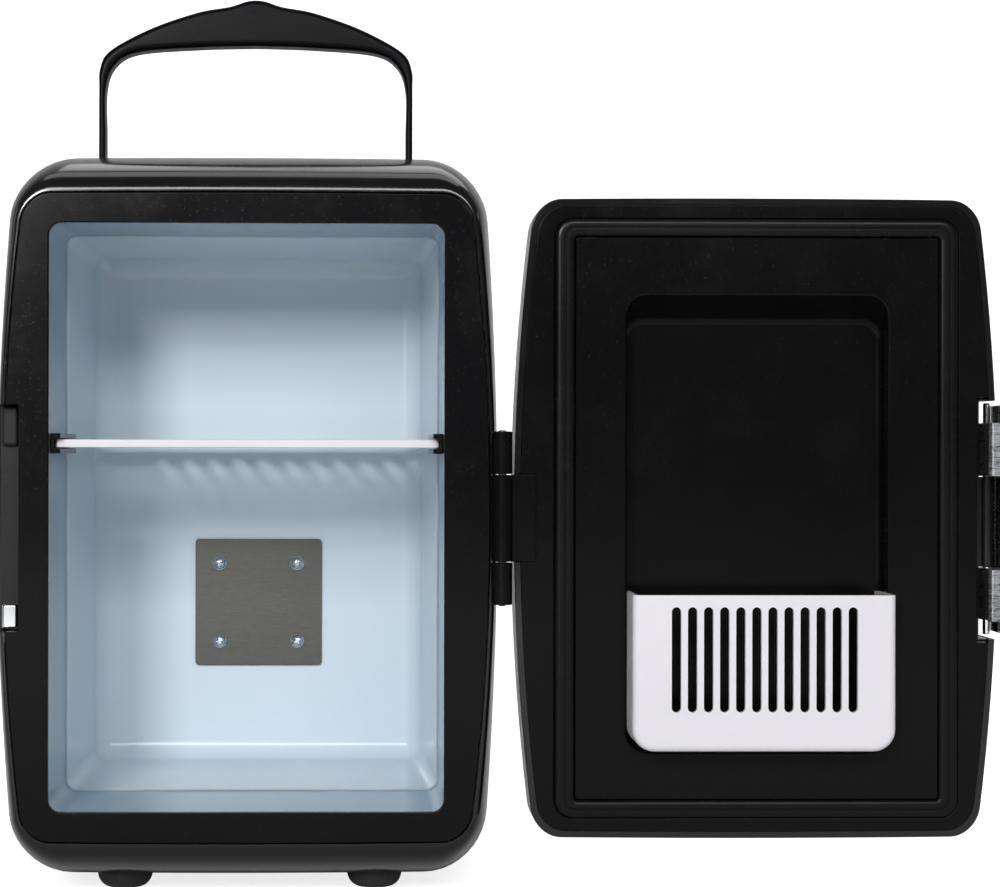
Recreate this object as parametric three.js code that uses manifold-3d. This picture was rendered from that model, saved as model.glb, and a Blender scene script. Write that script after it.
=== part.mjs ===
// A 4-litre thermoelectric mini fridge standing with its door swung fully open.
// Millimetres. x runs to the right, y to the back and z up. While the pieces are made, x = 0 is the middle of
// the cabinet, y = 0 is the plane of its front rim and z = 0 is the floor. The exported group then moves the
// middle of the object's footprint to the origin.
import * as THREE from "three";
import { mergeVertices } from "three/addons/utils/BufferGeometryUtils.js";
import Module from "manifold-3d";

const wasm = await Module();
wasm.setup();

// ---- Driving dimensions ----
const GAP = 0.3; // space left between pieces that touch
const MID_Z = 140; // middle of the cabinet, the opening and the door above the floor

// Outlines are round-cornered rectangles with half-width a, half-height b and corner radius r. Their sides
// bow outwards: at the corners they are narrower by the share bowX, and lower by the share bowZ.
const RIM = { a: 88.5, b: 118.2, r: 10.6, bowX: 0.086, bowZ: 0.004 };
const LIP = { a: 89.5, b: 119.2, r: 11.6, bowX: 0.086, bowZ: 0.004 };
const BELLY = { a: 93.3, b: 136, r: 25, bowX: 0.055, bowZ: 0.005 };
const DOOR = { a: 88.5, b: 116.6, r: 10.6, bowX: 0.086, bowZ: 0.004 };

const BELLY_Y = 60; // depth at which the cabinet is widest
const BODY_DEPTH = 205;
const REAR_ROUND = 8; // radius of the cabinet's rear edge
const REAR_FALL = 9; // how far the sides would draw in over REAR_REACH behind the belly
const REAR_REACH = 160;
const SHELL_WALL = 2.2;
const BEZEL_THICK = 3;

// Food compartment: a collar with straight walls, a small step, then a tub with drafted walls.
const OPENING = { a: 71.8, b: 107, r: 4.7 };
const LINER_Y = BEZEL_THICK + GAP;
const COLLAR_END = 60.5;
const CAVITY_DEPTH = 133;
const LINER_WALL = 1.5;

const RAIL = { z: 166.9, height: 7.4, reach: 3.6, slot: 3.7, web: 1, start: 3.6, end: 60 };
const SHELF = { halfWidth: 70.2, rearHalfWidth: 65.2, thick: 3, front: 8, shoulder: 58, back: 122 };
const SHELF_SLOT = { count: 12, pitch: 10.2, width: 6, rows: [[16, 62], [68, 114]] };

const COOLER_Z = 101.9; // height of the cold plate, the module and the fan
const COLD_PLATE = { side: 52, thick: 1.5, r: 1.7, screws: 32 };
const COLD_BLOCK_SIDE = 40;
const COLD_BLOCK_BACK = 152.8;
const PELTIER_THICK = 3.7;
const FOAM_BACK = 149.5;
const SINK = { halfWidth: 45, halfHeight: 45, base: 5, fins: 15, fin: 1.4, back: 177.6 };
const FAN = { half: 40, duct: 38, front: 181, back: 196, rotor: 36.5, hub: 14, blades: 7, holes: 35.7 };

const PANEL = { front: 200, back: 202.5, inset: 2.8 };
const INLET_Z = 38;
const VENT = { count: 11, pitch: 7, width: 3.6, bar: 1.5, inlet: [176, 204] };

// Carry handle: stands on two pivots in a pocket in the top, and folds back into it.
const HANDLE = { y: 95, z: 269, half: 6, legIn: 59.6, legOut: 62.2, boss: 6 };
const POCKET = { halfWidth: 64.3, front: 88, back: 172, floor: 262, wall: 2 };

// Door hinge: a vertical pin beside the rim, through two cabinet knuckles and one door knuckle.
const HINGE = { x: 92.8, y: -1.2, barrel: 3.7, pin: 1.5, bore: 1.8 };
const KNUCKLES = { lower: [108.5, 123.9], door: [124.2, 155.7], upper: [156, 171.5] };
const DOOR_X = 2 * HINGE.x; // the open door is the closed one turned half round the hinge

const DOOR_SIDE = 20; // depth of the door's straight side
const DOOR_DOME = 17; // depth of its rounded edge
const DOOR_DEPTH = 39.5;
const DOOR_WALL = 2;
const DOOR_PANEL = { inset: 2.3, thick: 2.2, raise: 1.5 };
const GASKET = {
  outer: { a: 73.5, b: 108.9, r: 6.5 },
  inner: { a: 66.5, b: 102.5, r: 1.3 },
  proud: 2.1,
  base: 1.2,
};
const RECESS = { half: 47.6, low: 55, high: 220.9, r: 7.3, floor: 10.5, slope: 8, wall: 2 };
const BASKET = { half: 47.2, low: 57, high: 113, front: -20, back: 10, wall: 2, r: 8 };
const BASKET_SLOT = { count: 12, pitch: 5.75, width: 3.35, low: 71.2, high: 108.8 };

// Latch: a flap on the door's free edge with two hooks that catch behind the cabinet's rim.
const LATCH = { x: DOOR_X + 86.6, y: 10, pin: 1.3, bore: 1.6, barrel: 2.5, low: 97.9, high: 181.5 };
const HOOKS = [[102.8, 121.7], [155.5, 174.9]];
const LATCH_POCKET = {
  x: DOOR_X + 82,
  low: 96,
  high: 183,
  back: 18,
  tailBack: 26,
  tailX: DOOR_X + 84.8,
  wall: 1,
};
const KEEPER = { x: -82.6, deepX: -80.6, low: 98.6, high: 181, back: 12, wall: 1.5 };

const FOOT = { x: 47, ys: [40, 150], r: 10.4, flat: 5.5, height: 12 };

// ---- Colours ----
const COLOURS = {
  glossBlack: [0x1a1a1c, 0.2, 0],
  satinBlack: [0x1c1d1f, 0.45, 0],
  matteBlack: [0x18181a, 0.7, 0],
  rubber: [0x2a2a2b, 0.85, 0],
  liner: [0xa9cbe0, 0.35, 0],
  white: [0xf0f0f2, 0.4, 0],
  foam: [0xe9dfc4, 0.95, 0],
  aluminium: [0x9b9b97, 0.4, 1],
  chrome: [0xc8c9cb, 0.15, 1],
  steel: [0x9a9c9f, 0.3, 1],
  ceramic: [0xf5f3ee, 0.6, 0],
  board: [0x1d5a34, 0.6, 0],
  redLens: [0xb3221c, 0.2, 0],
  greenLens: [0x2a9a3a, 0.2, 0],
};

// ---- Solids ----
function solid(geometry) {
  const bare = geometry.clone();
  bare.deleteAttribute("normal");
  bare.deleteAttribute("uv");
  const merged = mergeVertices(bare, 1e-4);
  return new wasm.Manifold(
    new wasm.Mesh({
      numProp: 3,
      vertProperties: new Float32Array(merged.attributes.position.array),
      triVerts: new Uint32Array(merged.index.array),
    }),
  );
}

function geometryOf(made) {
  const mesh = made.getMesh();
  const geometry = new THREE.BufferGeometry();
  geometry.setAttribute("position", new THREE.BufferAttribute(mesh.vertProperties, mesh.numProp));
  geometry.setIndex(new THREE.BufferAttribute(mesh.triVerts, 1));
  const flat = geometry.toNonIndexed();
  flat.computeVertexNormals();
  return flat;
}

// A box between two values on each axis.
function block([x0, x1], [y0, y1], [z0, z1]) {
  const box = new THREE.BoxGeometry(x1 - x0, y1 - y0, z1 - z0);
  return solid(box.translate((x0 + x1) / 2, (y0 + y1) / 2, (z0 + z1) / 2));
}

// A round rod along one axis; at holds its place on the two other axes, in x, y, z order.
function rod(axis, at, radius, [from, to], sides = 24) {
  const rodGeometry = new THREE.CylinderGeometry(radius, radius, to - from, sides);
  const middle = (from + to) / 2;
  if (axis === "x") return solid(rodGeometry.rotateZ(Math.PI / 2).translate(middle, at[0], at[1]));
  if (axis === "z") return solid(rodGeometry.rotateX(Math.PI / 2).translate(at[0], at[1], middle));
  return solid(rodGeometry.translate(at[0], middle, at[1]));
}

// The outline of a section, anticlockwise seen from the front, as points of x and z.
function outline(section, centre = [0, MID_Z], steps = { corner: 4, top: 3, side: 6 }) {
  const { a, b, r, bowX = 0, bowZ = 0 } = section;
  const flat = [];
  const line = (x0, z0, x1, z1, n) => {
    for (let i = 0; i < n; i++) flat.push([x0 + ((x1 - x0) * i) / n, z0 + ((z1 - z0) * i) / n]);
  };
  const arc = (x, z, quarter) => {
    for (let i = 0; i < steps.corner; i++) {
      const angle = ((quarter + i / steps.corner) * Math.PI) / 2;
      flat.push([x + r * Math.cos(angle), z + r * Math.sin(angle)]);
    }
  };
  line(a, r - b, a, b - r, steps.side);
  arc(a - r, b - r, 0);
  line(a - r, b, r - a, b, steps.top);
  arc(r - a, b - r, 1);
  line(-a, b - r, -a, r - b, steps.side);
  arc(r - a, r - b, 2);
  line(r - a, -b, a - r, -b, steps.top);
  arc(a - r, r - b, 3);
  return flat.map(([x, z]) => [
    centre[0] + x * (1 - bowX * (z / b) ** 2),
    centre[1] + z * (1 - bowZ * (x / a) ** 2),
  ]);
}

// A section grown by a distance on all sides; a negative distance shrinks it.
function grown(section, by) {
  return { ...section, a: section.a + by, b: section.b + by, r: Math.max(section.r + by, 1) };
}

// Points of a section at depth y.
function ring(y, section, centre) {
  return outline(section, centre).map(([x, z]) => new THREE.Vector3(x, y, z));
}

// A skin through a list of rings with equal point counts. A single point closes an end; without end points
// the last ring joins the first one. The surface faces out where the rings run towards +y.
function skin(rings, ends) {
  const count = rings[0].length;
  const positions = [];
  const indices = [];
  for (const points of rings) for (const p of points) positions.push(p.x, p.y, p.z);
  const strips = ends ? rings.length - 1 : rings.length;
  for (let k = 0; k < strips; k++) {
    const here = k * count;
    const next = ((k + 1) % rings.length) * count;
    for (let j = 0; j < count; j++) {
      const after = (j + 1) % count;
      indices.push(here + j, next + j, here + after, here + after, next + j, next + after);
    }
  }
  if (ends) {
    const first = positions.length / 3;
    const last = (rings.length - 1) * count;
    for (const p of ends) positions.push(p.x, p.y, p.z);
    for (let j = 0; j < count; j++) {
      const after = (j + 1) % count;
      indices.push(first, j, after, first + 1, last + after, last + j);
    }
  }
  const geometry = new THREE.BufferGeometry();
  geometry.setAttribute("position", new THREE.Float32BufferAttribute(positions, 3));
  geometry.setIndex(indices);
  return solid(geometry);
}

// A flat plate between two depths, from an outline of x and z and any holes in it.
function plate(points, [y0, y1], holes = []) {
  const shape = new THREE.Shape(points.map(([x, z]) => new THREE.Vector2(x, z)));
  for (const hole of holes) {
    shape.holes.push(new THREE.Path(hole.map(([x, z]) => new THREE.Vector2(x, z))));
  }
  const geometry = new THREE.ExtrudeGeometry(shape, { depth: y1 - y0, bevelEnabled: false });
  return solid(geometry.rotateX(Math.PI / 2).translate(0, y1, 0));
}

// A prism between two heights, from an outline of x and y.
function prism(points, [z0, z1]) {
  const shape = new THREE.Shape(points.map(([x, y]) => new THREE.Vector2(x, y)));
  const geometry = new THREE.ExtrudeGeometry(shape, { depth: z1 - z0, bevelEnabled: false });
  return solid(geometry.translate(0, 0, z0));
}

// A round-cornered rectangle with few points, for slots and small plates.
function smallRect(a, b, r, centre) {
  return outline({ a, b, r }, centre, { corner: 2, top: 1, side: 1 });
}

// A narrow slot with chamfered ends.
function slotOutline(a, b, centre) {
  return outline({ a, b, r: 0.7 * a }, centre, { corner: 1, top: 1, side: 1 });
}

function union(solids) {
  return solids.reduce((sum, one) => sum.add(one));
}

function without(base, cuts) {
  return cuts.reduce((rest, one) => rest.subtract(one), base);
}

// Evenly spaced places about a middle.
function spread(count, pitch, middle = 0) {
  return Array.from({ length: count }, (_, i) => middle + (i - (count - 1) / 2) * pitch);
}

// ---- The cabinet's outer form ----
// The section swells from the lip to the belly along a quarter ellipse, then draws in slowly to the back.
function bodySection(y, inset = 0) {
  const rise = y < BELLY_Y ? Math.sqrt(1 - (1 - y / BELLY_Y) ** 2) : 1;
  const fall = y > BELLY_Y ? 1 - Math.sqrt(1 - ((y - BELLY_Y) / REAR_REACH) ** 2) : 0;
  const mixed = {};
  for (const key of Object.keys(LIP)) mixed[key] = LIP[key] + (BELLY[key] - LIP[key]) * rise;
  return grown(mixed, -REAR_FALL * fall - inset);
}

const BODY_DEPTHS = [0, 0.8, 3, 8, 16, 28, 42, BELLY_Y, 90, 125, 160, BODY_DEPTH - REAR_ROUND];

function rearRings(steps) {
  return steps.map((turn) => {
    const angle = turn * (Math.PI / 2);
    const y = BODY_DEPTH - REAR_ROUND * (1 - Math.sin(angle));
    return ring(y, bodySection(BODY_DEPTH - REAR_ROUND, REAR_ROUND * (1 - Math.cos(angle))));
  });
}

function bodyOuterRings(grow = 0) {
  const sides = BODY_DEPTHS.map((y) => ring(y, bodySection(y, -grow)));
  return sides.concat(rearRings([1 / 3, 2 / 3, 1]));
}

function bodyHull(grow = 0) {
  const ends = [new THREE.Vector3(0, 0, MID_Z), new THREE.Vector3(0, BODY_DEPTH, MID_Z)];
  return skin(bodyOuterRings(grow), ends);
}

const rearLip = bodySection(BODY_DEPTH - REAR_ROUND, REAR_ROUND + PANEL.inset - 0.4);

const handlePocket = (grow) =>
  block(
    [-POCKET.halfWidth - grow, POCKET.halfWidth + grow],
    [POCKET.front - grow, POCKET.back + grow],
    [POCKET.floor - grow, 2 * MID_Z + 20],
  );

const keeperPocket = (grow) =>
  block(
    [-BELLY.a - 10, KEEPER.deepX + grow],
    [BEZEL_THICK + GAP, KEEPER.back + grow],
    [KEEPER.low - grow, KEEPER.high + grow],
  );

function hingeNotch() {
  const heights = [KNUCKLES.lower[0] - GAP, KNUCKLES.upper[1] + GAP];
  const round = rod("z", [HINGE.x, HINGE.y], HINGE.barrel + 0.7, heights, 32);
  return round.add(block([RIM.a - 1.5, BELLY.a], [-1, BEZEL_THICK], heights));
}

const PANEL_SCREWS = [-70.5, 70.5].flatMap((x) => [36, 244].map((z) => [x, z]));

function panelBosses() {
  const bosses = PANEL_SCREWS.map(([x, z]) => {
    const side = Math.sign(x);
    const reach = [x, side * 85].sort((p, q) => p - q);
    const rib = block(reach, [178, PANEL.front - GAP], [z - 1, z + 1]);
    return rod("y", [x, z], 4, [178, PANEL.front - GAP], 16).add(rib);
  });
  const bores = PANEL_SCREWS.map(([x, z]) => rod("y", [x, z], 1.8, [177, 201], 12));
  return { bosses: union(bosses), bores };
}

function outerShell() {
  const hull = bodyHull();
  const inner = BODY_DEPTHS.slice(3).map((y) => ring(y, bodySection(y, SHELL_WALL)));
  const rings = [
    ...bodyOuterRings(),
    ring(BODY_DEPTH, rearLip),
    ring(PANEL.front - 2, rearLip),
    ...inner.reverse(),
    ring(BEZEL_THICK + GAP, grown(LIP, -0.6)),
    ring(0, grown(LIP, -0.6)),
  ];
  const { bosses, bores } = panelBosses();
  const trays = handlePocket(POCKET.wall).add(keeperPocket(KEEPER.wall)).intersect(hull);
  const pinHoles = rod("x", [HANDLE.y, HANDLE.z], 2.3, [-67, 67], 16);
  const frontCut = block([-BELLY.a - 10, KEEPER.x], [-1, BEZEL_THICK + 1], [KEEPER.low, KEEPER.high]);
  return without(union([skin(rings), trays, bosses]), [
    handlePocket(0),
    keeperPocket(0),
    frontCut,
    hingeNotch(),
    pinHoles,
    ...bores,
  ]);
}

function knuckle(heights, tongue) {
  const barrel = rod("z", [HINGE.x, HINGE.y], HINGE.barrel, heights, 24);
  return barrel.add(block(tongue.x, tongue.y, heights));
}

function hingeBore() {
  return rod("z", [HINGE.x, HINGE.y], HINGE.bore, [KNUCKLES.lower[0] - 1, KNUCKLES.upper[1] + 1], 16);
}

function frontBezel() {
  const face = plate(outline(RIM), [0, BEZEL_THICK], [outline(OPENING)]);
  const tongue = { x: [RIM.a - 2.5, HINGE.x], y: [0, 2.3] };
  const knuckles = [KNUCKLES.lower, KNUCKLES.upper].map((heights) => knuckle(heights, tongue));
  const keeperCut = block([-BELLY.a, KEEPER.x], [-1, BEZEL_THICK + 1], [KEEPER.low, KEEPER.high]);
  return without(union([face, ...knuckles]), [keeperCut, hingeBore()]);
}

// ---- Food compartment ----
function linerRings(section) {
  const tubFront = { a: 71, b: 106.2, r: 4 };
  const tubBack = { a: 66.9, b: 102.9, r: 6 };
  const floor = { a: 59, b: 95, r: 5 };
  const flange = grown(section, 5);
  const wall = LINER_WALL;
  return [
    ring(CAVITY_DEPTH, floor),
    ring(CAVITY_DEPTH - 2.4, grown(floor, 5.6)),
    ring(CAVITY_DEPTH - 8, tubBack),
    ring(COLLAR_END + 0.5, tubFront),
    ring(COLLAR_END, section),
    ring(LINER_Y, section),
    ring(LINER_Y, flange),
    ring(LINER_Y + wall, flange),
    ring(LINER_Y + wall, grown(section, wall)),
    ring(COLLAR_END + 2, grown(section, wall)),
    ring(CAVITY_DEPTH - 4, grown(tubBack, wall + 0.4)),
    ring(CAVITY_DEPTH + wall, grown(floor, 3.5)),
  ];
}

const coldWindow = (half) =>
  block([-half, half], [CAVITY_DEPTH - 5, CAVITY_DEPTH + 40], [COOLER_Z - half, COOLER_Z + half]);

function liner() {
  const ends = [CAVITY_DEPTH, CAVITY_DEPTH + LINER_WALL].map((y) => new THREE.Vector3(0, y, MID_Z));
  return skin(linerRings(OPENING), ends).subtract(coldWindow(COLD_BLOCK_SIDE / 2 + 1));
}

// The liner's outside grown by the gap, for the foam to fit round.
function linerHull() {
  const wall = LINER_WALL + GAP;
  const rings = [
    ring(LINER_Y, grown(OPENING, wall)),
    ring(COLLAR_END + 2.5, grown(OPENING, wall)),
    ring(CAVITY_DEPTH - 3.5, { a: 69.2, b: 105.2, r: 8 }),
    ring(CAVITY_DEPTH + wall, { a: 63, b: 99, r: 8 }),
  ];
  const ends = [LINER_Y, CAVITY_DEPTH + wall].map((y) => new THREE.Vector3(0, y, MID_Z));
  return skin(rings, ends);
}

function insulationFoam() {
  const inset = SHELL_WALL + GAP + 0.2;
  const depths = [12, 24, 45, BELLY_Y, 115, FOAM_BACK];
  const ends = [depths[0], FOAM_BACK].map((y) => new THREE.Vector3(0, y, MID_Z));
  const body = skin(depths.map((y) => ring(y, bodySection(y, inset))), ends);
  return without(body, [
    linerHull(),
    coldWindow(COLD_BLOCK_SIDE / 2 + GAP),
    handlePocket(POCKET.wall + GAP),
    keeperPocket(KEEPER.wall + GAP),
  ]);
}

function shelfRail(side) {
  const wallX = OPENING.a - GAP;
  const tip = wallX - RAIL.reach;
  const heights = (size) => [RAIL.z - size / 2, RAIL.z + size / 2];
  const bar = block([tip, wallX], [RAIL.start, RAIL.end], heights(RAIL.height));
  const slot = block([tip - 1, wallX - RAIL.web], [0, RAIL.end + 1], heights(RAIL.slot));
  const rail = bar.subtract(slot);
  return side > 0 ? rail : rail.mirror([1, 0, 0]);
}

function shelf() {
  const { halfWidth, rearHalfWidth, thick, front, shoulder, back } = SHELF;
  const plan = [
    [-halfWidth, front], [halfWidth, front], [halfWidth, shoulder],
    [rearHalfWidth, back], [-rearHalfWidth, back], [-halfWidth, shoulder],
  ];
  const heights = [RAIL.z - thick / 2, RAIL.z + thick / 2];
  const cutHeights = [heights[0] - 1, heights[1] + 1];
  const slots = spread(SHELF_SLOT.count, SHELF_SLOT.pitch).flatMap((x) => {
    const sides = [x - SHELF_SLOT.width / 2, x + SHELF_SLOT.width / 2];
    return SHELF_SLOT.rows.map((run) => block(sides, run, cutHeights));
  });
  return without(prism(plan, heights), slots);
}

// ---- Cooler ----
const PLATE_SCREWS = [-1, 1].flatMap((i) =>
  [-1, 1].map((k) => [(i * COLD_PLATE.screws) / 2, COOLER_Z + (k * COLD_PLATE.screws) / 2]),
);
const PLATE_BACK = CAVITY_DEPTH - GAP;
const PLATE_FRONT = PLATE_BACK - COLD_PLATE.thick;

function coldPlate() {
  const half = COLD_PLATE.side / 2;
  const holes = PLATE_SCREWS.map(([x, z]) => rod("y", [x, z], 1.8, [PLATE_FRONT - 1, CAVITY_DEPTH], 16));
  return without(plate(smallRect(half, half, COLD_PLATE.r, [0, COOLER_Z]), [PLATE_FRONT, PLATE_BACK]), holes);
}

// A pan-head screw along y with a washer flange; out is the side that its head faces.
function panScrew([x, z], faceY, out, { flange, head, shank, length }) {
  const shankProfile = [[0, length], [shank, length], [shank, 0]];
  const headProfile = [[flange, 0], [flange, -0.7], [head, -0.9], [head * 0.7, -1.9], [0, -2.1]];
  const profile = [...shankProfile, ...headProfile].map(([r, t]) => new THREE.Vector2(r, -t));
  const turned = new THREE.LatheGeometry(profile, 10);
  const screw = solid(out < 0 ? turned.rotateX(Math.PI) : turned);
  return screw.translate([x, faceY + out * GAP, z]);
}

function coldBlock() {
  const half = COLD_BLOCK_SIDE / 2;
  const body = block([-half, half], [CAVITY_DEPTH, COLD_BLOCK_BACK], [COOLER_Z - half, COOLER_Z + half]);
  const depths = [CAVITY_DEPTH - 1, CAVITY_DEPTH + 12];
  return without(body, PLATE_SCREWS.map(([x, z]) => rod("y", [x, z], 1.8, depths, 12)));
}

const PELTIER_BACK = COLD_BLOCK_BACK + GAP + PELTIER_THICK;
const SINK_FRONT = PELTIER_BACK + GAP;

function peltierModule() {
  const half = COLD_BLOCK_SIDE / 2;
  return block([-half, half], [COLD_BLOCK_BACK + GAP, PELTIER_BACK], [COOLER_Z - half, COOLER_Z + half]);
}

function heatSink() {
  const { halfWidth, halfHeight, base, fins, fin, back } = SINK;
  const heights = [COOLER_Z - halfHeight, COOLER_Z + halfHeight];
  const basePlate = block([-halfWidth, halfWidth], [SINK_FRONT, SINK_FRONT + base], heights);
  const pitch = (2 * halfWidth - fin) / (fins - 1);
  const finPlates = spread(fins, pitch).map((x) =>
    block([x - fin / 2, x + fin / 2], [SINK_FRONT + base / 2, back], heights),
  );
  return union([basePlate, ...finPlates]);
}

const FAN_CORNERS = [-1, 1].flatMap((i) => [-1, 1].map((k) => [i * FAN.holes, COOLER_Z + k * FAN.holes]));

function fanFrame() {
  const { half, duct, front, back } = FAN;
  const square = plate(smallRect(half, half, 5, [0, COOLER_Z]), [front, back]);
  const bore = rod("y", [0, COOLER_Z], duct, [front - 1, back - 2.5], 28);
  const mouth = rod("y", [0, COOLER_Z], duct, [back - 3, back + 1], 28);
  const hubMount = rod("y", [0, COOLER_Z], 13, [back - 2.5, back], 24);
  const arms = [0, 1, 2, 3].map((turn) =>
    block([10, duct + 1], [back - 2.5, back], [-1.5, 1.5])
      .rotate([0, 45 + 90 * turn, 0])
      .translate([0, 0, COOLER_Z]),
  );
  const holes = FAN_CORNERS.map(([x, z]) => rod("y", [x, z], 2.1, [front - 1, back + 1], 12));
  return without(square, [bore, mouth]).add(union([hubMount, ...arms])).subtract(union(holes));
}

function fanRotor() {
  const { front, back, hub, rotor, blades } = FAN;
  const depths = [front + 0.8, back - 3];
  const hubSolid = rod("y", [0, COOLER_Z], hub, depths, 24);
  const bladeSolids = spread(blades, 360 / blades, 0).map((turn) =>
    block([hub - 1, rotor], [-0.6, 0.6], [-7, 7])
      .rotate([35, 0, 0])
      .translate([0, (depths[0] + depths[1]) / 2, 0])
      .rotate([0, turn, 0])
      .translate([0, 0, COOLER_Z]),
  );
  return union([hubSolid, ...bladeSolids]);
}

// ---- Back panel and electrics ----
const AC_INLET = { x: -46, a: 11, b: 7.5 };
const DC_INLET = { x: 46, r: 7.5 };
const SWITCH = { x: 0, a: 10.5, b: 7 };
const LENSES = { red: 20, green: 28 };
const PANEL_FACE = PANEL.back + GAP;

// A cut goes right through the panel.
const PANEL_CUT = [PANEL.front - 1, PANEL_FACE];

// Two rows of upright slots behind the fan, as long as its round duct allows, and an air inlet row above.
function ventSlots() {
  const slot = (x, heights) => block([x - VENT.width / 2, x + VENT.width / 2], PANEL_CUT, heights);
  const fanRows = spread(VENT.count, VENT.pitch).flatMap((x) => {
    const reach = Math.sqrt(FAN.duct ** 2 - x ** 2) - VENT.bar;
    const top = COOLER_Z + VENT.bar + reach;
    return [slot(x, [COOLER_Z + VENT.bar, top]), slot(x, [2 * COOLER_Z - top, COOLER_Z - VENT.bar])];
  });
  return [...fanRows, ...spread(VENT.count, VENT.pitch).map((x) => slot(x, VENT.inlet))];
}

function rearPanel() {
  const panel = plate(outline(grown(rearLip, -0.4)), [PANEL.front, PANEL.back]);
  const cut = ({ a, b, x }) => plate(smallRect(a + GAP, b + GAP, 1.5, [x, INLET_Z]), PANEL_CUT);
  return without(panel, [
    ...ventSlots(),
    cut(AC_INLET),
    cut(SWITCH),
    rod("y", [DC_INLET.x, INLET_Z], DC_INLET.r + GAP, PANEL_CUT, 24),
    ...Object.values(LENSES).map((x) => rod("y", [x, INLET_Z], 1.8, PANEL_CUT, 12)),
    ...PANEL_SCREWS.map(([x, z]) => rod("y", [x, z], 1.8, PANEL_CUT, 12)),
  ]);
}

const INLET_FRONT = 186;
const INLET_MOUTH = PANEL_FACE + 1.5;
const SOCKET_FLOOR = INLET_MOUTH - 12;
const AC_PINS = [AC_INLET.x - 4.2, AC_INLET.x + 4.2];

// A mains inlet: a flanged housing with a round-ended socket and two bores for its pins.
function acInlet() {
  const { x, a, b } = AC_INLET;
  const centre = [x, INLET_Z];
  const housing = plate(smallRect(a, b, 1.5, centre), [INLET_FRONT, PANEL_FACE + 0.2]);
  const flange = plate(smallRect(a + 2, b + 2, 2, centre), [PANEL_FACE, INLET_MOUTH]);
  const socket = plate(smallRect(8, 4.4, 4.2, centre), [SOCKET_FLOOR, INLET_MOUTH + 1]);
  const boreDepths = [INLET_FRONT - 1, SOCKET_FLOOR + 1];
  const bores = AC_PINS.map((pinX) => rod("y", [pinX, INLET_Z], 1.5, boreDepths, 12));
  return without(housing.add(flange), [socket, ...bores]);
}

function acPin(x) {
  return rod("y", [x, INLET_Z], 1.2, [INLET_FRONT - 4, SOCKET_FLOOR + 6.5], 12);
}

function dcInlet() {
  const centre = [DC_INLET.x, INLET_Z];
  const barrel = rod("y", centre, DC_INLET.r, [INLET_FRONT, PANEL_FACE + 0.2], 24);
  const flange = rod("y", centre, DC_INLET.r + 2, [PANEL_FACE, INLET_MOUTH], 24);
  const socket = rod("y", centre, 5, [SOCKET_FLOOR, INLET_MOUTH + 1], 24);
  const pin = rod("y", centre, 1, [SOCKET_FLOOR - 1, SOCKET_FLOOR + 6], 12);
  return barrel.add(flange).subtract(socket).add(pin);
}

const ROCKER = { y: PANEL_FACE - 2.4, r: 6.5, half: 4.3 };

function modeSwitchBody() {
  const centre = [SWITCH.x, INLET_Z];
  const housing = plate(smallRect(SWITCH.a, SWITCH.b, 1.5, centre), [INLET_FRONT, PANEL_FACE + 0.2]);
  const flange = plate(smallRect(SWITCH.a + 2, SWITCH.b + 2, 2, centre), [PANEL_FACE, INLET_MOUTH]);
  const well = block(
    [SWITCH.x - 8.5, SWITCH.x + 8.5],
    [INLET_FRONT + 2.5, INLET_MOUTH + 1],
    [INLET_Z - ROCKER.half - 0.4, INLET_Z + ROCKER.half + 0.4],
  );
  return housing.add(flange).subtract(well);
}

// The rocker is a bar with a hollowed top that tips from side to side about an upright line.
function modeRocker() {
  const { y, r, half } = ROCKER;
  const profile = [
    [-r, y - 3], [-3, y - 6], [3, y - 6], [r, y - 3], [r + 0.6, y + 4.4], [0, y + 2.4], [-r - 0.6, y + 4.4],
  ];
  return prism(profile.map(([x, depth]) => [SWITCH.x + x, depth]), [INLET_Z - half, INLET_Z + half]);
}

function indicatorLens(x) {
  const stem = rod("y", [x, INLET_Z], 1.5, [PANEL.front - 3, PANEL_FACE + 0.1], 12);
  const ball = solid(new THREE.SphereGeometry(2.4, 12, 8)).translate([x, PANEL_FACE, INLET_Z]);
  const outside = block([x - 3, x + 3], [PANEL_FACE, PANEL_FACE + 3], [INLET_Z - 3, INLET_Z + 3]);
  return ball.intersect(outside).add(stem);
}

function controlBoard() {
  const board = block([-42, 42], [176, 177.6], [17, 54]);
  const parts = [
    block([12, 22], [168, 176.2], [24, 34]),
    rod("y", [32, 28], 5, [162, 176.2], 16),
    rod("y", [32, 42], 4, [165, 176.2], 16),
    block([10, 24], [171, 176.2], [40, 50]),
  ];
  return union([board, ...parts]);
}

function transformer() {
  const core = block([-36, -8], [158, 175.6], [22, 50]);
  const winding = block([-40, -4], [161, 172.6], [26, 46]);
  return core.add(winding);
}

// ---- Feet, hinge pin, keeper ----
function foot(x, y) {
  const { r, flat, height } = FOOT;
  const profile = [[0, 0], [flat, 0]];
  for (let i = 1; i <= 4; i++) {
    const angle = (i / 4) * (Math.PI / 2);
    profile.push([flat + (r - flat) * Math.sin(angle), 6 * (1 - Math.cos(angle))]);
  }
  profile.push([r, height], [0, height]);
  const lathe = new THREE.LatheGeometry(profile.map(([u, v]) => new THREE.Vector2(u, v)), 16);
  const dome = solid(lathe.rotateX(Math.PI / 2)).translate([x, y, 0]);
  return dome.subtract(bodyHull(GAP));
}

function hingePin() {
  return rod("z", [HINGE.x, HINGE.y], HINGE.pin, [KNUCKLES.lower[0] - 0.5, KNUCKLES.upper[1] + 0.5], 16);
}

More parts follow.
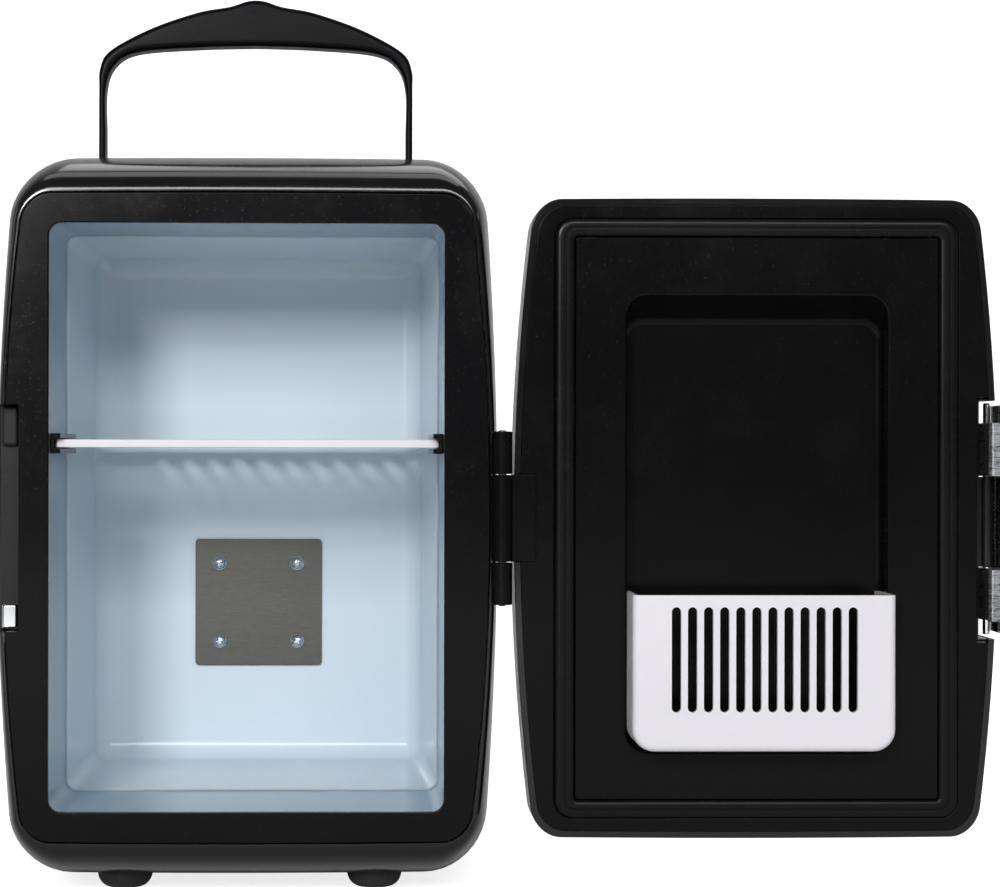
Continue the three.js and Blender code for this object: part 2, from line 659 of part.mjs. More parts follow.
// The keeper is a plate at the back of its recess with a block at each end.
function latchKeeper() {
  const low = KEEPER.low + 0.4;
  const high = KEEPER.high - 0.4;
  const backPlate = block([-90.3, KEEPER.deepX - 0.6], [KEEPER.back - 2, KEEPER.back - GAP], [low, high]);
  const blocks = [[low, 108.2], [166, high]].map((heights) =>
    block([-89, KEEPER.x - 1], [7.2, KEEPER.back - 1], heights),
  );
  return union([backPlate, ...blocks]);
}

// ---- Handle ----
function handle() {
  const { legIn, legOut, half, y, z, boss } = HANDLE;
  const outer = [[61.9, 315.9], [57.9, 323], [42, 331.8], [23.2, 338.4], [10.3, 340.8], [0, 343.6]];
  const inner = [[0, 325.1], [23.2, 324.5], [46.7, 322.5], [56, 317.4]];
  const flip = (points) => points.map(([px, pz]) => [-px, pz]).reverse();
  const vectors = (points) => points.map(([px, pz]) => new THREE.Vector2(px, pz));
  const shape = new THREE.Shape();
  shape.moveTo(legOut, z);
  shape.lineTo(legOut, 307.6);
  shape.splineThru(vectors([...outer, ...flip(outer).slice(1), [-legOut, 307.6]]));
  shape.lineTo(-legOut, z);
  shape.lineTo(-legIn, z);
  shape.lineTo(-legIn, 307.5);
  shape.splineThru(vectors([...flip(inner), ...inner.slice(1), [legIn, 307.5]]));
  shape.lineTo(legIn, z);
  shape.closePath();
  const settings = { depth: 2 * half, bevelEnabled: false, curveSegments: 3 };
  const extruded = new THREE.ExtrudeGeometry(shape, settings);
  const bow = solid(extruded.rotateX(Math.PI / 2).translate(0, y + half, 0));
  const bosses = [[legIn, legOut], [-legOut, -legIn]].map((run) => rod("x", [y, z], boss, run, 24));
  return union([bow, ...bosses]).subtract(rod("x", [y, z], 2.3, [-66, 66], 16));
}

function handlePin(side) {
  const { y, z, legIn } = HANDLE;
  const shank = rod("x", [y, z], 2, [legIn - 1, POCKET.halfWidth + POCKET.wall - 0.2], 16);
  const head = rod("x", [y, z], 3.6, [legIn - 1.8, legIn - GAP], 16);
  const pin = shank.add(head);
  return side > 0 ? pin : pin.mirror([1, 0, 0]);
}

// ---- Door ----
const DOOR_CENTRE = [DOOR_X, MID_Z];

function doorSection(inset) {
  return { ...grown(DOOR, -inset), r: Math.max(DOOR.r - 0.3 * inset, 3) };
}

// Rings of the door's cup, offset inwards by a wall, from its straight side over the rounded edge to the
// crown.
function doorCup(wall, start) {
  const rings = [ring(start, doorSection(wall), DOOR_CENTRE)];
  const reach = 22;
  for (const turn of [0, 0.25, 0.5, 0.75, 1]) {
    const angle = turn * (Math.PI / 2);
    const inset = wall + reach * (1 - Math.cos(angle));
    rings.push(ring(DOOR_SIDE + (DOOR_DOME - wall) * Math.sin(angle), doorSection(inset), DOOR_CENTRE));
  }
  const crown = doorSection(wall + reach);
  const crownRise = DOOR_DEPTH - DOOR_SIDE - DOOR_DOME;
  for (const share of [0.66, 0.33]) {
    const inner = { ...crown, a: crown.a * share, b: crown.b * share, r: crown.r * share };
    rings.push(ring(DOOR_SIDE + DOOR_DOME - wall + crownRise * (1 - share ** 2), inner, DOOR_CENTRE));
  }
  return rings;
}

const doorMiddle = (y) => new THREE.Vector3(DOOR_X, y, MID_Z);

function doorHull() {
  return skin(doorCup(0, GAP), [doorMiddle(GAP), doorMiddle(DOOR_DEPTH)]);
}

// The pocket in the door's free edge: deep where the hooks turn, shallow under the flap's tail.
function latchPocket(grow) {
  const { x, low, high, back, tailBack, tailX } = LATCH_POCKET;
  const heights = [low - grow, high + grow];
  const far = DOOR_X + DOOR.a + 10;
  const deep = block([x - grow, far], [-1, back + grow], heights);
  return deep.add(block([tailX - grow, far], [back - 1, tailBack + grow], heights));
}

function doorOuterShell() {
  const inner = doorCup(DOOR_WALL, GAP).reverse();
  const ends = [doorMiddle(DOOR_DEPTH - DOOR_WALL), doorMiddle(DOOR_DEPTH)];
  const cup = skin([...inner, ...doorCup(0, GAP)], ends);
  const tray = latchPocket(LATCH_POCKET.wall).intersect(doorHull());
  const betweenHooks = [HOOKS[0][1] + GAP, HOOKS[1][0] - GAP];
  const barrel = rod("z", [LATCH.x, LATCH.y], LATCH.barrel, betweenHooks, 16);
  const web = block([LATCH_POCKET.x - 0.5, LATCH.x], [LATCH.y - 1.2, LATCH.y + 1.2], betweenHooks);
  const tongueHeights = [KNUCKLES.door[0] - GAP, KNUCKLES.door[1] + GAP];
  const tongueCut = block([DOOR_X - DOOR.a - 2, DOOR_X - DOOR.a + 4], [-1, 2.6], tongueHeights);
  const pinBore = rod("z", [LATCH.x, LATCH.y], LATCH.bore, [LATCH.low, LATCH.high], 16);
  return without(cup.add(tray), [latchPocket(0), tongueCut]).add(barrel.add(web)).subtract(pinBore);
}

// The recess in the inner panel, grown by a wall; its top wall slopes.
function doorRecess(grow, depths) {
  const { half, low, high, r, floor, slope } = RECESS;
  const centre = [DOOR_X, (low + high) / 2];
  const section = (drop) => ({ a: half + grow, b: (high - low - drop) / 2 + grow, r });
  const lowered = [DOOR_X, centre[1] - slope / 2];
  const mouth = outline(section(0), centre).map(([x, z]) => new THREE.Vector3(x, depths[0], z));
  const face = outline(section(0), centre).map(([x, z]) => new THREE.Vector3(x, -DOOR_PANEL.raise, z));
  const base = outline(section(slope), lowered).map(([x, z]) => new THREE.Vector3(x, depths[1], z));
  const ends = [
    new THREE.Vector3(DOOR_X, depths[0], centre[1]),
    new THREE.Vector3(DOOR_X, depths[1], lowered[1]),
  ];
  return skin([mouth, face, base], ends);
}

function gasketRing(slack, depths) {
  const outer = { ...GASKET.outer, a: GASKET.outer.a + slack, b: GASKET.outer.b + slack };
  const inner = { ...GASKET.inner, a: GASKET.inner.a - slack, b: GASKET.inner.b - slack };
  return plate(outline(outer, DOOR_CENTRE), depths, [outline(inner, DOOR_CENTRE)]);
}

function doorInnerPanel() {
  const { thick, inset, raise } = DOOR_PANEL;
  const face = plate(outline(doorSection(inset), DOOR_CENTRE), [0, thick]);
  const plugSection = { ...GASKET.inner, a: GASKET.inner.a - GAP, b: GASKET.inner.b - GAP };
  const plug = plate(outline(plugSection, DOOR_CENTRE), [-raise, 1]);
  const tray = doorRecess(RECESS.wall, [-raise - 0.1, RECESS.floor + RECESS.wall]);
  const trayBack = tray.intersect(block([0, 2 * DOOR_X], [-raise, BODY_DEPTH], [0, 2 * MID_Z]));
  const tongue = { x: [HINGE.x + 0.5, DOOR_X - DOOR.a + 8], y: [-0.9, 2] };
  const hinge = knuckle(KNUCKLES.door, tongue);
  return without(union([face, plug, trayBack, hinge]), [
    doorRecess(0, [-raise - 2, RECESS.floor]),
    gasketRing(GAP, [-raise - 1, GASKET.base + GAP]),
    latchPocket(LATCH_POCKET.wall + GAP),
    hingeBore(),
  ]);
}

function doorGasket() {
  return gasketRing(0, [-GASKET.proud, GASKET.base]);
}

function doorFoam() {
  const rings = doorCup(DOOR_WALL + 0.6, DOOR_PANEL.thick + GAP);
  const ends = [doorMiddle(DOOR_PANEL.thick + GAP), doorMiddle(DOOR_DEPTH - DOOR_WALL - 0.6)];
  return without(skin(rings, ends), [
    doorRecess(RECESS.wall + 0.6, [-5, RECESS.floor + RECESS.wall + 0.6]),
    latchPocket(LATCH_POCKET.wall + GAP),
  ]);
}

// The basket's outline: straight at the top and round at its two lower corners.
function basketOutline(grow, top) {
  const a = BASKET.half + grow;
  const round = BASKET.r + grow;
  const cornerZ = BASKET.low - grow + round;
  const points = [[DOOR_X + a, top], [DOOR_X - a, top]];
  for (const quarter of [2, 3]) {
    const cornerX = DOOR_X + (quarter === 2 ? round - a : a - round);
    for (let i = 0; i <= 4; i++) {
      const angle = ((quarter + i / 4) * Math.PI) / 2;
      points.push([cornerX + round * Math.cos(angle), cornerZ + round * Math.sin(angle)]);
    }
  }
  return points;
}

function doorBasket() {
  const { high, front, back, wall } = BASKET;
  const body = plate(basketOutline(0, high), [front, back]);
  const hollow = plate(basketOutline(-wall, high + 5), [front + wall, back + 1]);
  const slotMiddle = (BASKET_SLOT.low + BASKET_SLOT.high) / 2;
  const slotHalf = (BASKET_SLOT.high - BASKET_SLOT.low) / 2;
  const slots = spread(BASKET_SLOT.count, BASKET_SLOT.pitch, DOOR_X).map((x) =>
    plate(slotOutline(BASKET_SLOT.width / 2, slotHalf, [x, slotMiddle]), [front - 1, front + wall + 1]),
  );
  return without(body, [hollow, ...slots]);
}

// ---- Latch ----
function latchLever() {
  const { x, y, low, high, bore } = LATCH;
  const flapIn = x + 2.9;
  const flapOut = x + 4.3;
  const flap = block([flapIn, flapOut], [-1, y + 12], [low, high]);
  const root = [[flapOut, y + 3.5], [x - 2.6, y + 3.5], [x - 3.2, y + 2.5], [x - 3.2, y - 4]];
  const stem = [[x - 2.1, y - 6], [x - 2.1, -6.3]];
  const barb = [[x - 3.6, -6.5], [x - 3.6, -7.6], [x - 2.4, -8.9], [x + 1.4, -8.9]];
  const profile = [...root, ...stem, ...barb, [x + 3, -5], [flapOut, 0]];
  const hooks = HOOKS.map((heights) => prism(profile, heights));
  return union([flap, ...hooks]).subtract(rod("z", [x, y], bore, [low - 1, high + 1], 16));
}

function latchPin() {
  return rod("z", [LATCH.x, LATCH.y], LATCH.pin, [LATCH.low - 0.8, LATCH.high + 0.8], 16);
}

// ---- Assembly ----
const fridge = new THREE.Group();

function add(name, made, colour) {
  const [color, roughness, metalness] = COLOURS[colour];
  const material = new THREE.MeshStandardMaterial({ color, roughness, metalness });
  const mesh = new THREE.Mesh(geometryOf(made), material);
  mesh.name = name;
  fridge.add(mesh);
}

add("outer_shell", outerShell(), "glossBlack");
add("front_bezel", frontBezel(), "satinBlack");
add("liner", liner(), "liner");
add("insulation_foam", insulationFoam(), "foam");
add("shelf_rail_left", shelfRail(-1), "satinBlack");
add("shelf_rail_right", shelfRail(1), "satinBlack");
add("shelf", shelf(), "white");

add("cold_plate", coldPlate(), "aluminium");
PLATE_SCREWS.forEach((place, i) => {
  const size = { flange: 2.9, head: 2.3, shank: 1.5, length: 10 };
  add(`cold_plate_screw_${i + 1}`, panScrew(place, PLATE_FRONT, -1, size), "chrome");
});
add("cold_block", coldBlock(), "aluminium");
add("peltier_module", peltierModule(), "ceramic");
add("heat_sink", heatSink(), "aluminium");
add("fan_frame", fanFrame(), "matteBlack");
add("fan_rotor", fanRotor(), "matteBlack");
FAN_CORNERS.forEach((place, i) => {
  const size = { flange: 3.2, head: 2.8, shank: 1.5, length: 17.5 };
  add(`fan_screw_${i + 1}`, panScrew(place, FAN.back, 1, size), "steel");
});

add("rear_panel", rearPanel(), "matteBlack");
PANEL_SCREWS.forEach((place, i) => {
  const size = { flange: 3.4, head: 3, shank: 1.5, length: 12 };
  add(`rear_panel_screw_${i + 1}`, panScrew(place, PANEL.back, 1, size), "steel");
});
add("ac_inlet", acInlet(), "matteBlack");
AC_PINS.forEach((x, i) => add(`ac_inlet_pin_${i + 1}`, acPin(x), "steel"));
add("dc_inlet", dcInlet(), "matteBlack");
add("mode_switch_body", modeSwitchBody(), "matteBlack");
add("mode_rocker", modeRocker(), "satinBlack");
add("indicator_lens_red", indicatorLens(LENSES.red), "redLens");
add("indicator_lens_green", indicatorLens(LENSES.green), "greenLens");
add("control_board", controlBoard(), "board");
add("transformer", transformer(), "steel");

["front", "rear"].forEach((row, i) => {
  add(`foot_${row}_left`, foot(-FOOT.x, FOOT.ys[i]), "rubber");
  add(`foot_${row}_right`, foot(FOOT.x, FOOT.ys[i]), "rubber");
});
add("hinge_pin", hingePin(), "steel");
add("latch_keeper", latchKeeper(), "chrome");

add("handle", handle(), "satinBlack");
add("handle_pin_left", handlePin(-1), "satinBlack");
add("handle_pin_right", handlePin(1), "satinBlack");

add("door_outer_shell", doorOuterShell(), "glossBlack");
add("door_inner_panel", doorInnerPanel(), "satinBlack");
add("door_gasket", doorGasket(), "rubber");
add("door_foam", doorFoam(), "foam");
add("door_basket", doorBasket(), "white");
add("latch_lever", latchLever(), "chrome");
add("latch_pin", latchPin(), "chrome");

// The origin is the middle of the whole object's footprint, on the floor.
const extent = new THREE.Box3().setFromObject(fridge);
const middle = extent.getCenter(new THREE.Vector3());
fridge.position.set(-middle.x, -middle.y, -extent.min.z);

const part = new THREE.Group();
part.add(fridge);

export default part;
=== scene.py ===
import bmesh
import bpy
import numpy as np
from mathutils import Euler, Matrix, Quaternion, Vector
from mathutils.geometry import tessellate_polygon


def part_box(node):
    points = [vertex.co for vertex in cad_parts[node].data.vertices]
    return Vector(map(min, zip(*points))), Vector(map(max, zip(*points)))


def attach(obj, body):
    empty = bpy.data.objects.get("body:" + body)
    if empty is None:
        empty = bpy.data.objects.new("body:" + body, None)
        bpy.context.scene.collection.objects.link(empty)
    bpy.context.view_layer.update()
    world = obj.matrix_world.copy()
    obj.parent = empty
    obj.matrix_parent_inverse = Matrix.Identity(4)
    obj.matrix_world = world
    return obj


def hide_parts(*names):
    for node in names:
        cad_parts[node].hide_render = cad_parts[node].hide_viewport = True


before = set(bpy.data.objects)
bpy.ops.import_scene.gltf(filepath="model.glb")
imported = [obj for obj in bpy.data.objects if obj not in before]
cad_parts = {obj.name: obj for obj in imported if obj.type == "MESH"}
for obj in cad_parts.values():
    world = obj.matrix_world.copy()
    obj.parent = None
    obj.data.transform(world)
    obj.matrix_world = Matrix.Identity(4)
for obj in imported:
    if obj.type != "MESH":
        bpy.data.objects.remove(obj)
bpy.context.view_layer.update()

# %% [markdown]
# Sizes are easiest to read in the maker's own frame, in millimetres: x = 0 is the middle of the cabinet,
# y = 0 the plane of its front rim and z = 0 the floor. The shell's box says where that frame lies, so no
# piece has to be fitted by hand.
# %% The maker's frame
shell_low, shell_high = (1000 * np.array(corner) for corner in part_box("outer_shell"))
MAKER_ORIGIN = np.array([(shell_low[0] + shell_high[0]) / 2, shell_low[1], 0.0])
MID_Z = (shell_low[2] + shell_high[2]) / 2
GAP = 0.3


def metres(points):
    """Points of the maker's frame in millimetres, as metres of the row frame."""
    return (np.asarray(points, float) + MAKER_ORIGIN) / 1000


print("the maker's origin is", MAKER_ORIGIN, "and the middle height", round(MID_Z, 2))

# %% [markdown]
# Nearly every moulding here is a round-cornered rectangle whose sides bow outwards a little, changing as it
# goes back. One function gives that outline for any half-width a, half-height b, corner radius r and bow.
# Using the same number of points for each outline means that any two can be joined by a strip of quads.
# %% Sections and outlines
RIM = {"a": 88.5, "b": 118.2, "r": 10.6, "bow_x": 0.086, "bow_z": 0.004}
LIP = {"a": 89.5, "b": 119.2, "r": 11.6, "bow_x": 0.086, "bow_z": 0.004}
BELLY = {"a": 93.3, "b": 136, "r": 25, "bow_x": 0.055, "bow_z": 0.005}
DOOR = {"a": 88.5, "b": 116.6, "r": 10.6, "bow_x": 0.086, "bow_z": 0.004}
OPENING = {"a": 71.8, "b": 107, "r": 4.7}
CORNER_STEPS, TOP_STEPS, SIDE_STEPS = 10, 14, 20


def grown(section, by):
    """A section grown by a distance on all sides; a negative distance shrinks it."""
    return {**section, "a": section["a"] + by, "b": section["b"] + by, "r": max(section["r"] + by, 0.6)}


def mixed(first, second, share):
    """A section part of the way from the first one to the second."""
    keys = ("a", "b", "r", "bow_x", "bow_z")
    return {k: (1 - share) * first.get(k, 0) + share * second.get(k, 0) for k in keys}


def outline(section, middle=(0.0, MID_Z), marks=()):
    """Straight sides and quarter-circle corners, anticlockwise seen from the front, as x and z. Then x
    shrinks by bow_x times the square of the relative height, and z by bow_z times the square of the
    relative width. Marks are x values that must fall on points of the straight top and bottom."""
    a, b, r = section["a"], section["b"], section["r"]
    bow_x, bow_z = section.get("bow_x", 0), section.get("bow_z", 0)
    inner = np.sort([m / (1 - bow_x) for m in marks])[::-1]
    knots = np.concatenate([[a - r], inner, [r - a]])
    shares = np.linspace(0, len(knots) - 1, TOP_STEPS, endpoint=False)
    if marks:
        shares = np.concatenate([[0, 0.5], np.linspace(1, 2, TOP_STEPS - 4, endpoint=False), [2, 2.5]])
    across = np.interp(shares, np.arange(len(knots)), knots)
    up = np.linspace(r - b, b - r, SIDE_STEPS, endpoint=False)
    quarter = np.linspace(0, np.pi / 2, CORNER_STEPS, endpoint=False)

    def arc(x, z, turn):
        return np.stack([x + r * np.cos(quarter + turn), z + r * np.sin(quarter + turn)], 1)

    flat = np.concatenate([
        np.stack([np.full(SIDE_STEPS, a), up], 1),
        arc(a - r, b - r, 0),
        np.stack([across, np.full(TOP_STEPS, b)], 1),
        arc(r - a, b - r, np.pi / 2),
        np.stack([np.full(SIDE_STEPS, -a), -up], 1),
        arc(r - a, r - b, np.pi),
        np.stack([-across, np.full(TOP_STEPS, -b)], 1),
        arc(a - r, r - b, 1.5 * np.pi),
    ])
    x = flat[:, 0] * (1 - bow_x * (flat[:, 1] / b) ** 2)
    z = flat[:, 1] * (1 - bow_z * (flat[:, 0] / a) ** 2)
    return np.stack([middle[0] + x, middle[1] + z], 1)


def ring(y, flat):
    """An outline of x and z placed at the depth y."""
    return np.stack([flat[:, 0], np.full(len(flat), float(y)), flat[:, 1]], 1)


print("an outline has", len(outline(RIM)), "points")

# %% [markdown]
# A shape is kept as an array of points and a list of faces until it is finished. The skin function joins
# rings of equal length with quads. Its open ends are closed with a fan round a middle point, or, for a bar
# whose outline may have a notch, with triangles that keep inside the outline. A closed loop of rings, such as
# a frame, needs no ends.
# %% Skins
def skin(rings, ends=True, notched=False):
    """Quads between neighbouring rings; with ends, a fan of triangles closes the first and the last ring,
    and without them the last ring joins the first. A fan would span the notches of a notched outline, so
    its flat ends are cut into triangles that stay inside it. Rings that run to the back make faces that
    point outwards."""
    rings = np.asarray(rings, float)
    rows, count = rings.shape[:2]
    here = np.arange(count)
    after = (here + 1) % count
    strips = rows - 1 if ends else rows
    faces = []
    for row in range(strips):
        start, end = row * count, ((row + 1) % rows) * count
        faces += np.stack([start + here, start + after, end + after, end + here], 1).tolist()
    points = rings.reshape(-1, 3)
    if ends and notched:
        for start in (0, (rows - 1) * count):
            loop = [Vector(point) for point in points[start : start + count]]
            faces += (np.array(tessellate_polygon([loop])) + start).tolist()
    elif ends:
        points = np.concatenate([points, [rings[0].mean(0), rings[-1].mean(0)]])
        first, last = rows * count, rows * count + 1
        faces += np.stack([np.full(count, first), after, here], 1).tolist()
        faces += np.stack([np.full(count, last), (rows - 1) * count + here, (rows - 1) * count + after],
                          1).tolist()
    return points, faces


def joined(*shapes):
    """Several shapes as one, kept apart in the same mesh."""
    points, faces, start = [], [], 0
    for shape_points, shape_faces in shapes:
        points.append(shape_points)
        faces += [[start + i for i in face] for face in shape_faces]
        start += len(shape_points)
    return np.concatenate(points), faces


def fillet(corners, radius, steps=4):
    """A closed flat outline with each corner cut back by the radius and rounded by a quadratic curve."""
    corners = np.asarray(corners, float)
    rounded = []
    for i, corner in enumerate(corners):
        before, after = corners[i - 1] - corner, corners[(i + 1) % len(corners)] - corner
        reach = min(radius, 0.49 * np.hypot(*before), 0.49 * np.hypot(*after))
        start = corner + before / np.hypot(*before) * reach
        end = corner + after / np.hypot(*after) * reach
        t = np.linspace(0, 1, steps + 1)[:, None]
        rounded.append((1 - t) ** 2 * start + 2 * t * (1 - t) * corner + t**2 * end)
    return np.concatenate(rounded)


def offset(loop, by):
    """A flat anticlockwise loop moved outwards: each point goes along the mean of its two edges' normals."""
    ahead = np.roll(loop, -1, 0) - loop
    normal = np.stack([ahead[:, 1], -ahead[:, 0]], 1)
    normal /= np.linalg.norm(normal, axis=1, keepdims=True)
    blend = normal + np.roll(normal, 1, 0)
    blend /= np.linalg.norm(blend, axis=1, keepdims=True)
    lengthen = 1 / np.clip((blend * normal).sum(1, keepdims=True), 0.5, 1)
    return loop + by * blend * lengthen


def placed(flat, level, axis):
    """A flat loop put at a level of one axis. Its two numbers go on the two other axes."""
    a, b = flat.T
    full = np.full(len(flat), float(level))
    return np.stack({"x": (full, a, b), "y": (a, full, b), "z": (a, b, full)}[axis], 1)


def bar(loop, span, axis, edge=0.4, steps=3):
    """A flat loop carried along an axis, with both ends drawn in by a quarter circle of the edge's radius."""
    turns = np.linspace(0, np.pi / 2, steps + 1)
    low, high = span
    profile = [(low + edge * (1 - np.cos(t)), -edge * (1 - np.sin(t))) for t in turns]
    profile += [(high - edge * (1 - np.cos(t)), -edge * (1 - np.sin(t))) for t in turns[::-1]]
    return skin([placed(offset(loop, grow), level, axis) for level, grow in profile], notched=True)


def circle(radius, middle=(0, 0), count=32):
    """A circle as a flat loop."""
    turn = np.linspace(0, 2 * np.pi, count, endpoint=False)
    return np.stack([middle[0] + radius * np.cos(turn), middle[1] + radius * np.sin(turn)], 1)


def rectangle(low, high):
    """A rectangle as a flat anticlockwise loop between two corners."""
    return np.array([[low[0], low[1]], [high[0], low[1]], [high[0], high[1]], [low[0], high[1]]], float)


def turned(profile, middle, axis, count=32):
    """A profile of radius and level turned round an axis."""
    return skin([placed(circle(radius, middle, count), level, axis) for radius, level in profile])


def block(low, high):
    """A plain box for cutting."""
    return skin([placed(rectangle((low[0], low[2]), (high[0], high[2])), y, "y") for y in (low[1], high[1])])


print("a block has", len(block((0, 0, 0), (1, 1, 1))[1]), "faces")

# %% [markdown]
# A finished shape becomes a Blender object at the origin, riding on one of the frame's bodies and standing
# for the nodes it replaces. Openings are cut with an exact Boolean while the shape is still simple. Small
# bevels then round the cut edges, and weighted normals keep the flat faces looking flat.
# %% Pieces
def mesh_of(name, shape):
    """A mesh from a shape in the maker's frame, its doubled points merged and its faces pointing outwards."""
    points, faces = shape
    mesh = bpy.data.meshes.new(name)
    mesh.from_pydata(metres(points).tolist(), [], faces)
    work = bmesh.new()
    work.from_mesh(mesh)
    bmesh.ops.remove_doubles(work, verts=work.verts, dist=1e-6)
    bmesh.ops.recalc_face_normals(work, faces=work.faces)
    work.to_mesh(mesh)
    work.free()
    return mesh


def carve(piece, cuts):
    """Cuts each closed shape out of the piece with an exact Boolean, and keeps the result as its mesh."""
    tools = []
    for cut in cuts:
        tool = bpy.data.objects.new("tool", mesh_of("tool", cut))
        bpy.context.scene.collection.objects.link(tool)
        modifier = piece.modifiers.new("cut", "BOOLEAN")
        modifier.object, modifier.solver = tool, "EXACT"
        tools.append(tool)
    graph = bpy.context.evaluated_depsgraph_get()
    graph.update()
    made = bpy.data.meshes.new_from_object(piece.evaluated_get(graph))
    piece.modifiers.clear()
    piece.data = made
    for tool in tools:
        bpy.data.objects.remove(tool)


def piece(name, shape, material, body, nodes=(), slot=None, cuts=(), bevel=0.0, sharp=35, segments=2):
    """A new piece of the object. Bevel is in millimetres, and sharp is the angle past which an edge is
    one."""
    thing = bpy.data.objects.new(name, mesh_of(name, shape))
    bpy.context.scene.collection.objects.link(thing)
    if cuts:
        carve(thing, cuts)
    thing.data.materials.clear()
    thing.data.materials.append(material)
    thing.data.polygons.foreach_set("use_smooth", np.ones(len(thing.data.polygons), bool))
    thing.data.set_sharp_from_angle(angle=np.radians(sharp))
    if bevel:
        soften = thing.modifiers.new("edges", "BEVEL")
        soften.width, soften.segments = bevel / 1000, segments
        soften.limit_method, soften.angle_limit = "ANGLE", np.radians(sharp)
        soften.harden_normals = True
    weigh = thing.modifiers.new("normals", "WEIGHTED_NORMAL")
    weigh.keep_sharp = True
    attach(thing, body)
    if nodes:
        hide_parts(*nodes)
    print(name, "has", len(thing.data.polygons), "faces")
    return thing


# %% [markdown]
# Materials are written as sums. A Value holds one output of a shader node, and the Python operators on it add
# Math nodes, so that a recipe reads like its formula. Every other node comes from the node method of Recipe.
# %% Shader sums
class Value:
    """A number or a colour that changes over a surface: one output socket of a recipe's node."""

    def __init__(self, recipe, socket):
        self.recipe, self.socket = recipe, socket

    def math(self, operation, first, second):
        return self.recipe.node("ShaderNodeMath", {"operation": operation}, {0: first, 1: second})

    def __add__(self, other):
        return self.math("ADD", self, other)

    def __sub__(self, other):
        return self.math("SUBTRACT", self, other)

    def __rsub__(self, other):
        return self.math("SUBTRACT", other, self)

    def __mul__(self, other):
        return self.math("MULTIPLY", self, other)

    def __pow__(self, other):
        return self.math("POWER", self, other)

    __radd__ = __add__
    __rmul__ = __mul__


class Recipe:
    """One material with a Principled shader, and short methods for the patterns that drive it."""

    def __init__(self, name, **uniform):
        self.material = bpy.data.materials.new(name)
        self.material.use_nodes = True
        self.tree = self.material.node_tree
        self.shader = next(n for n in self.tree.nodes if n.type == "BSDF_PRINCIPLED")
        for socket, value in uniform.items():
            self.shader.inputs[socket.replace("_", " ")].default_value = value
        self.place = self.node("ShaderNodeTexCoord", {}, {}, "Object")

    def node(self, kind, settings, sockets, output=0):
        """Adds a node: its settings first, then a value or a link for each socket. Gives one output."""
        made = self.tree.nodes.new(kind)
        for setting, value in settings.items():
            setattr(made, setting, value)
        for socket, value in sockets.items():
            if isinstance(value, Value):
                self.tree.links.new(value.socket, made.inputs[socket])
            else:
                made.inputs[socket].default_value = value
        return Value(self, made.outputs[output])

    def stretched(self, scale):
        """The place on the piece, scaled along each axis."""
        return self.node("ShaderNodeMapping", {}, {"Vector": self.place, "Scale": scale})

    def noise(self, scale, detail=2.0, rough=0.5, place=None):
        """Soft noise from 0 to 1, with so many lumps to the metre."""
        sockets = {"Vector": place or self.place, "Scale": scale, "Detail": detail, "Roughness": rough}
        return self.node("ShaderNodeTexNoise", {}, sockets)

    def step(self, value, low, high, start=0.0, end=1.0):
        """A smooth step: start where the value is under low, end where it is over high."""
        sockets = {"Value": value, "From Min": low, "From Max": high, "To Min": start, "To Max": end}
        return self.node("ShaderNodeMapRange", {"interpolation_type": "SMOOTHSTEP"}, sockets)

    def height(self, axis):
        """One coordinate of the place on the piece, in metres."""
        return self.node("ShaderNodeSeparateXYZ", {}, {"Vector": self.place}, axis)

    def blend(self, share, first, second):
        """A colour part of the way from the first one to the second."""
        sockets = {"Factor": share, 6: first, 7: second}
        return self.node("ShaderNodeMix", {"data_type": "RGBA"}, sockets, 2)

    def bump(self, value, depth):
        """A normal from a height; depth is how far 1 stands out, in metres."""
        sockets = {"Strength": 1.0, "Distance": depth, "Height": value}
        return self.node("ShaderNodeBump", {}, sockets)

    def finish(self, **links):
        """Links the values that change over the surface to the shader, and gives the material."""
        for socket, value in links.items():
            self.tree.links.new(value.socket, self.shader.inputs[socket.replace("_", " ")])
        return self.material


def shade(red, green, blue):
    """A colour from the 0 to 255 numbers of a paint chart, as the linear light that shaders use."""
    chart = np.array([red, green, blue]) / 255
    linear = np.where(chart <= 0.04045, chart / 12.92, ((chart + 0.055) / 1.055) ** 2.4)
    return (*linear.tolist(), 1.0)


print("a mid grey is", [round(c, 3) for c in shade(128, 128, 128)])

# %% [markdown]
# Moulded plastic is never quite even. A slow drift of tone comes from the melt's flow, a very fine grain from
# the tool's surface, and a little dust dulls the gloss in patches. The same recipe serves all the plastics,
# with the tone, the gloss and the grain of each.
# %% Plastics
def plastic(name, dark, light, gloss, grain=0.0, grain_size=1.2, drift=9.0, dust=0.06, **uniform):
    """Tone drifts between two shades, roughness between the two numbers of gloss, and dust adds a bit more.
    Grain is the height of the tool's texture in millimetres, and its size is that of one lump."""
    recipe = Recipe(name, **uniform)
    cloud = recipe.noise(drift, 3.0)
    tone = recipe.step(cloud, 0.3, 0.7)
    specks = recipe.step(recipe.noise(900.0, 1.0), 0.66, 0.74)
    haze = recipe.step(recipe.noise(40.0, 4.0, 0.65), 0.45, 0.75)
    rough = recipe.step(cloud, 0.3, 0.7, gloss[0], gloss[1]) + haze * dust + specks * (2 * dust)
    colour = recipe.blend(tone, shade(*dark), shade(*light))
    links = {"Base_Color": colour, "Roughness": rough}
    if grain:
        lumps = recipe.noise(1000 / grain_size, 2.0, 0.6)
        links["Normal"] = recipe.bump(lumps, grain / 1000)
    return recipe.finish(**links)


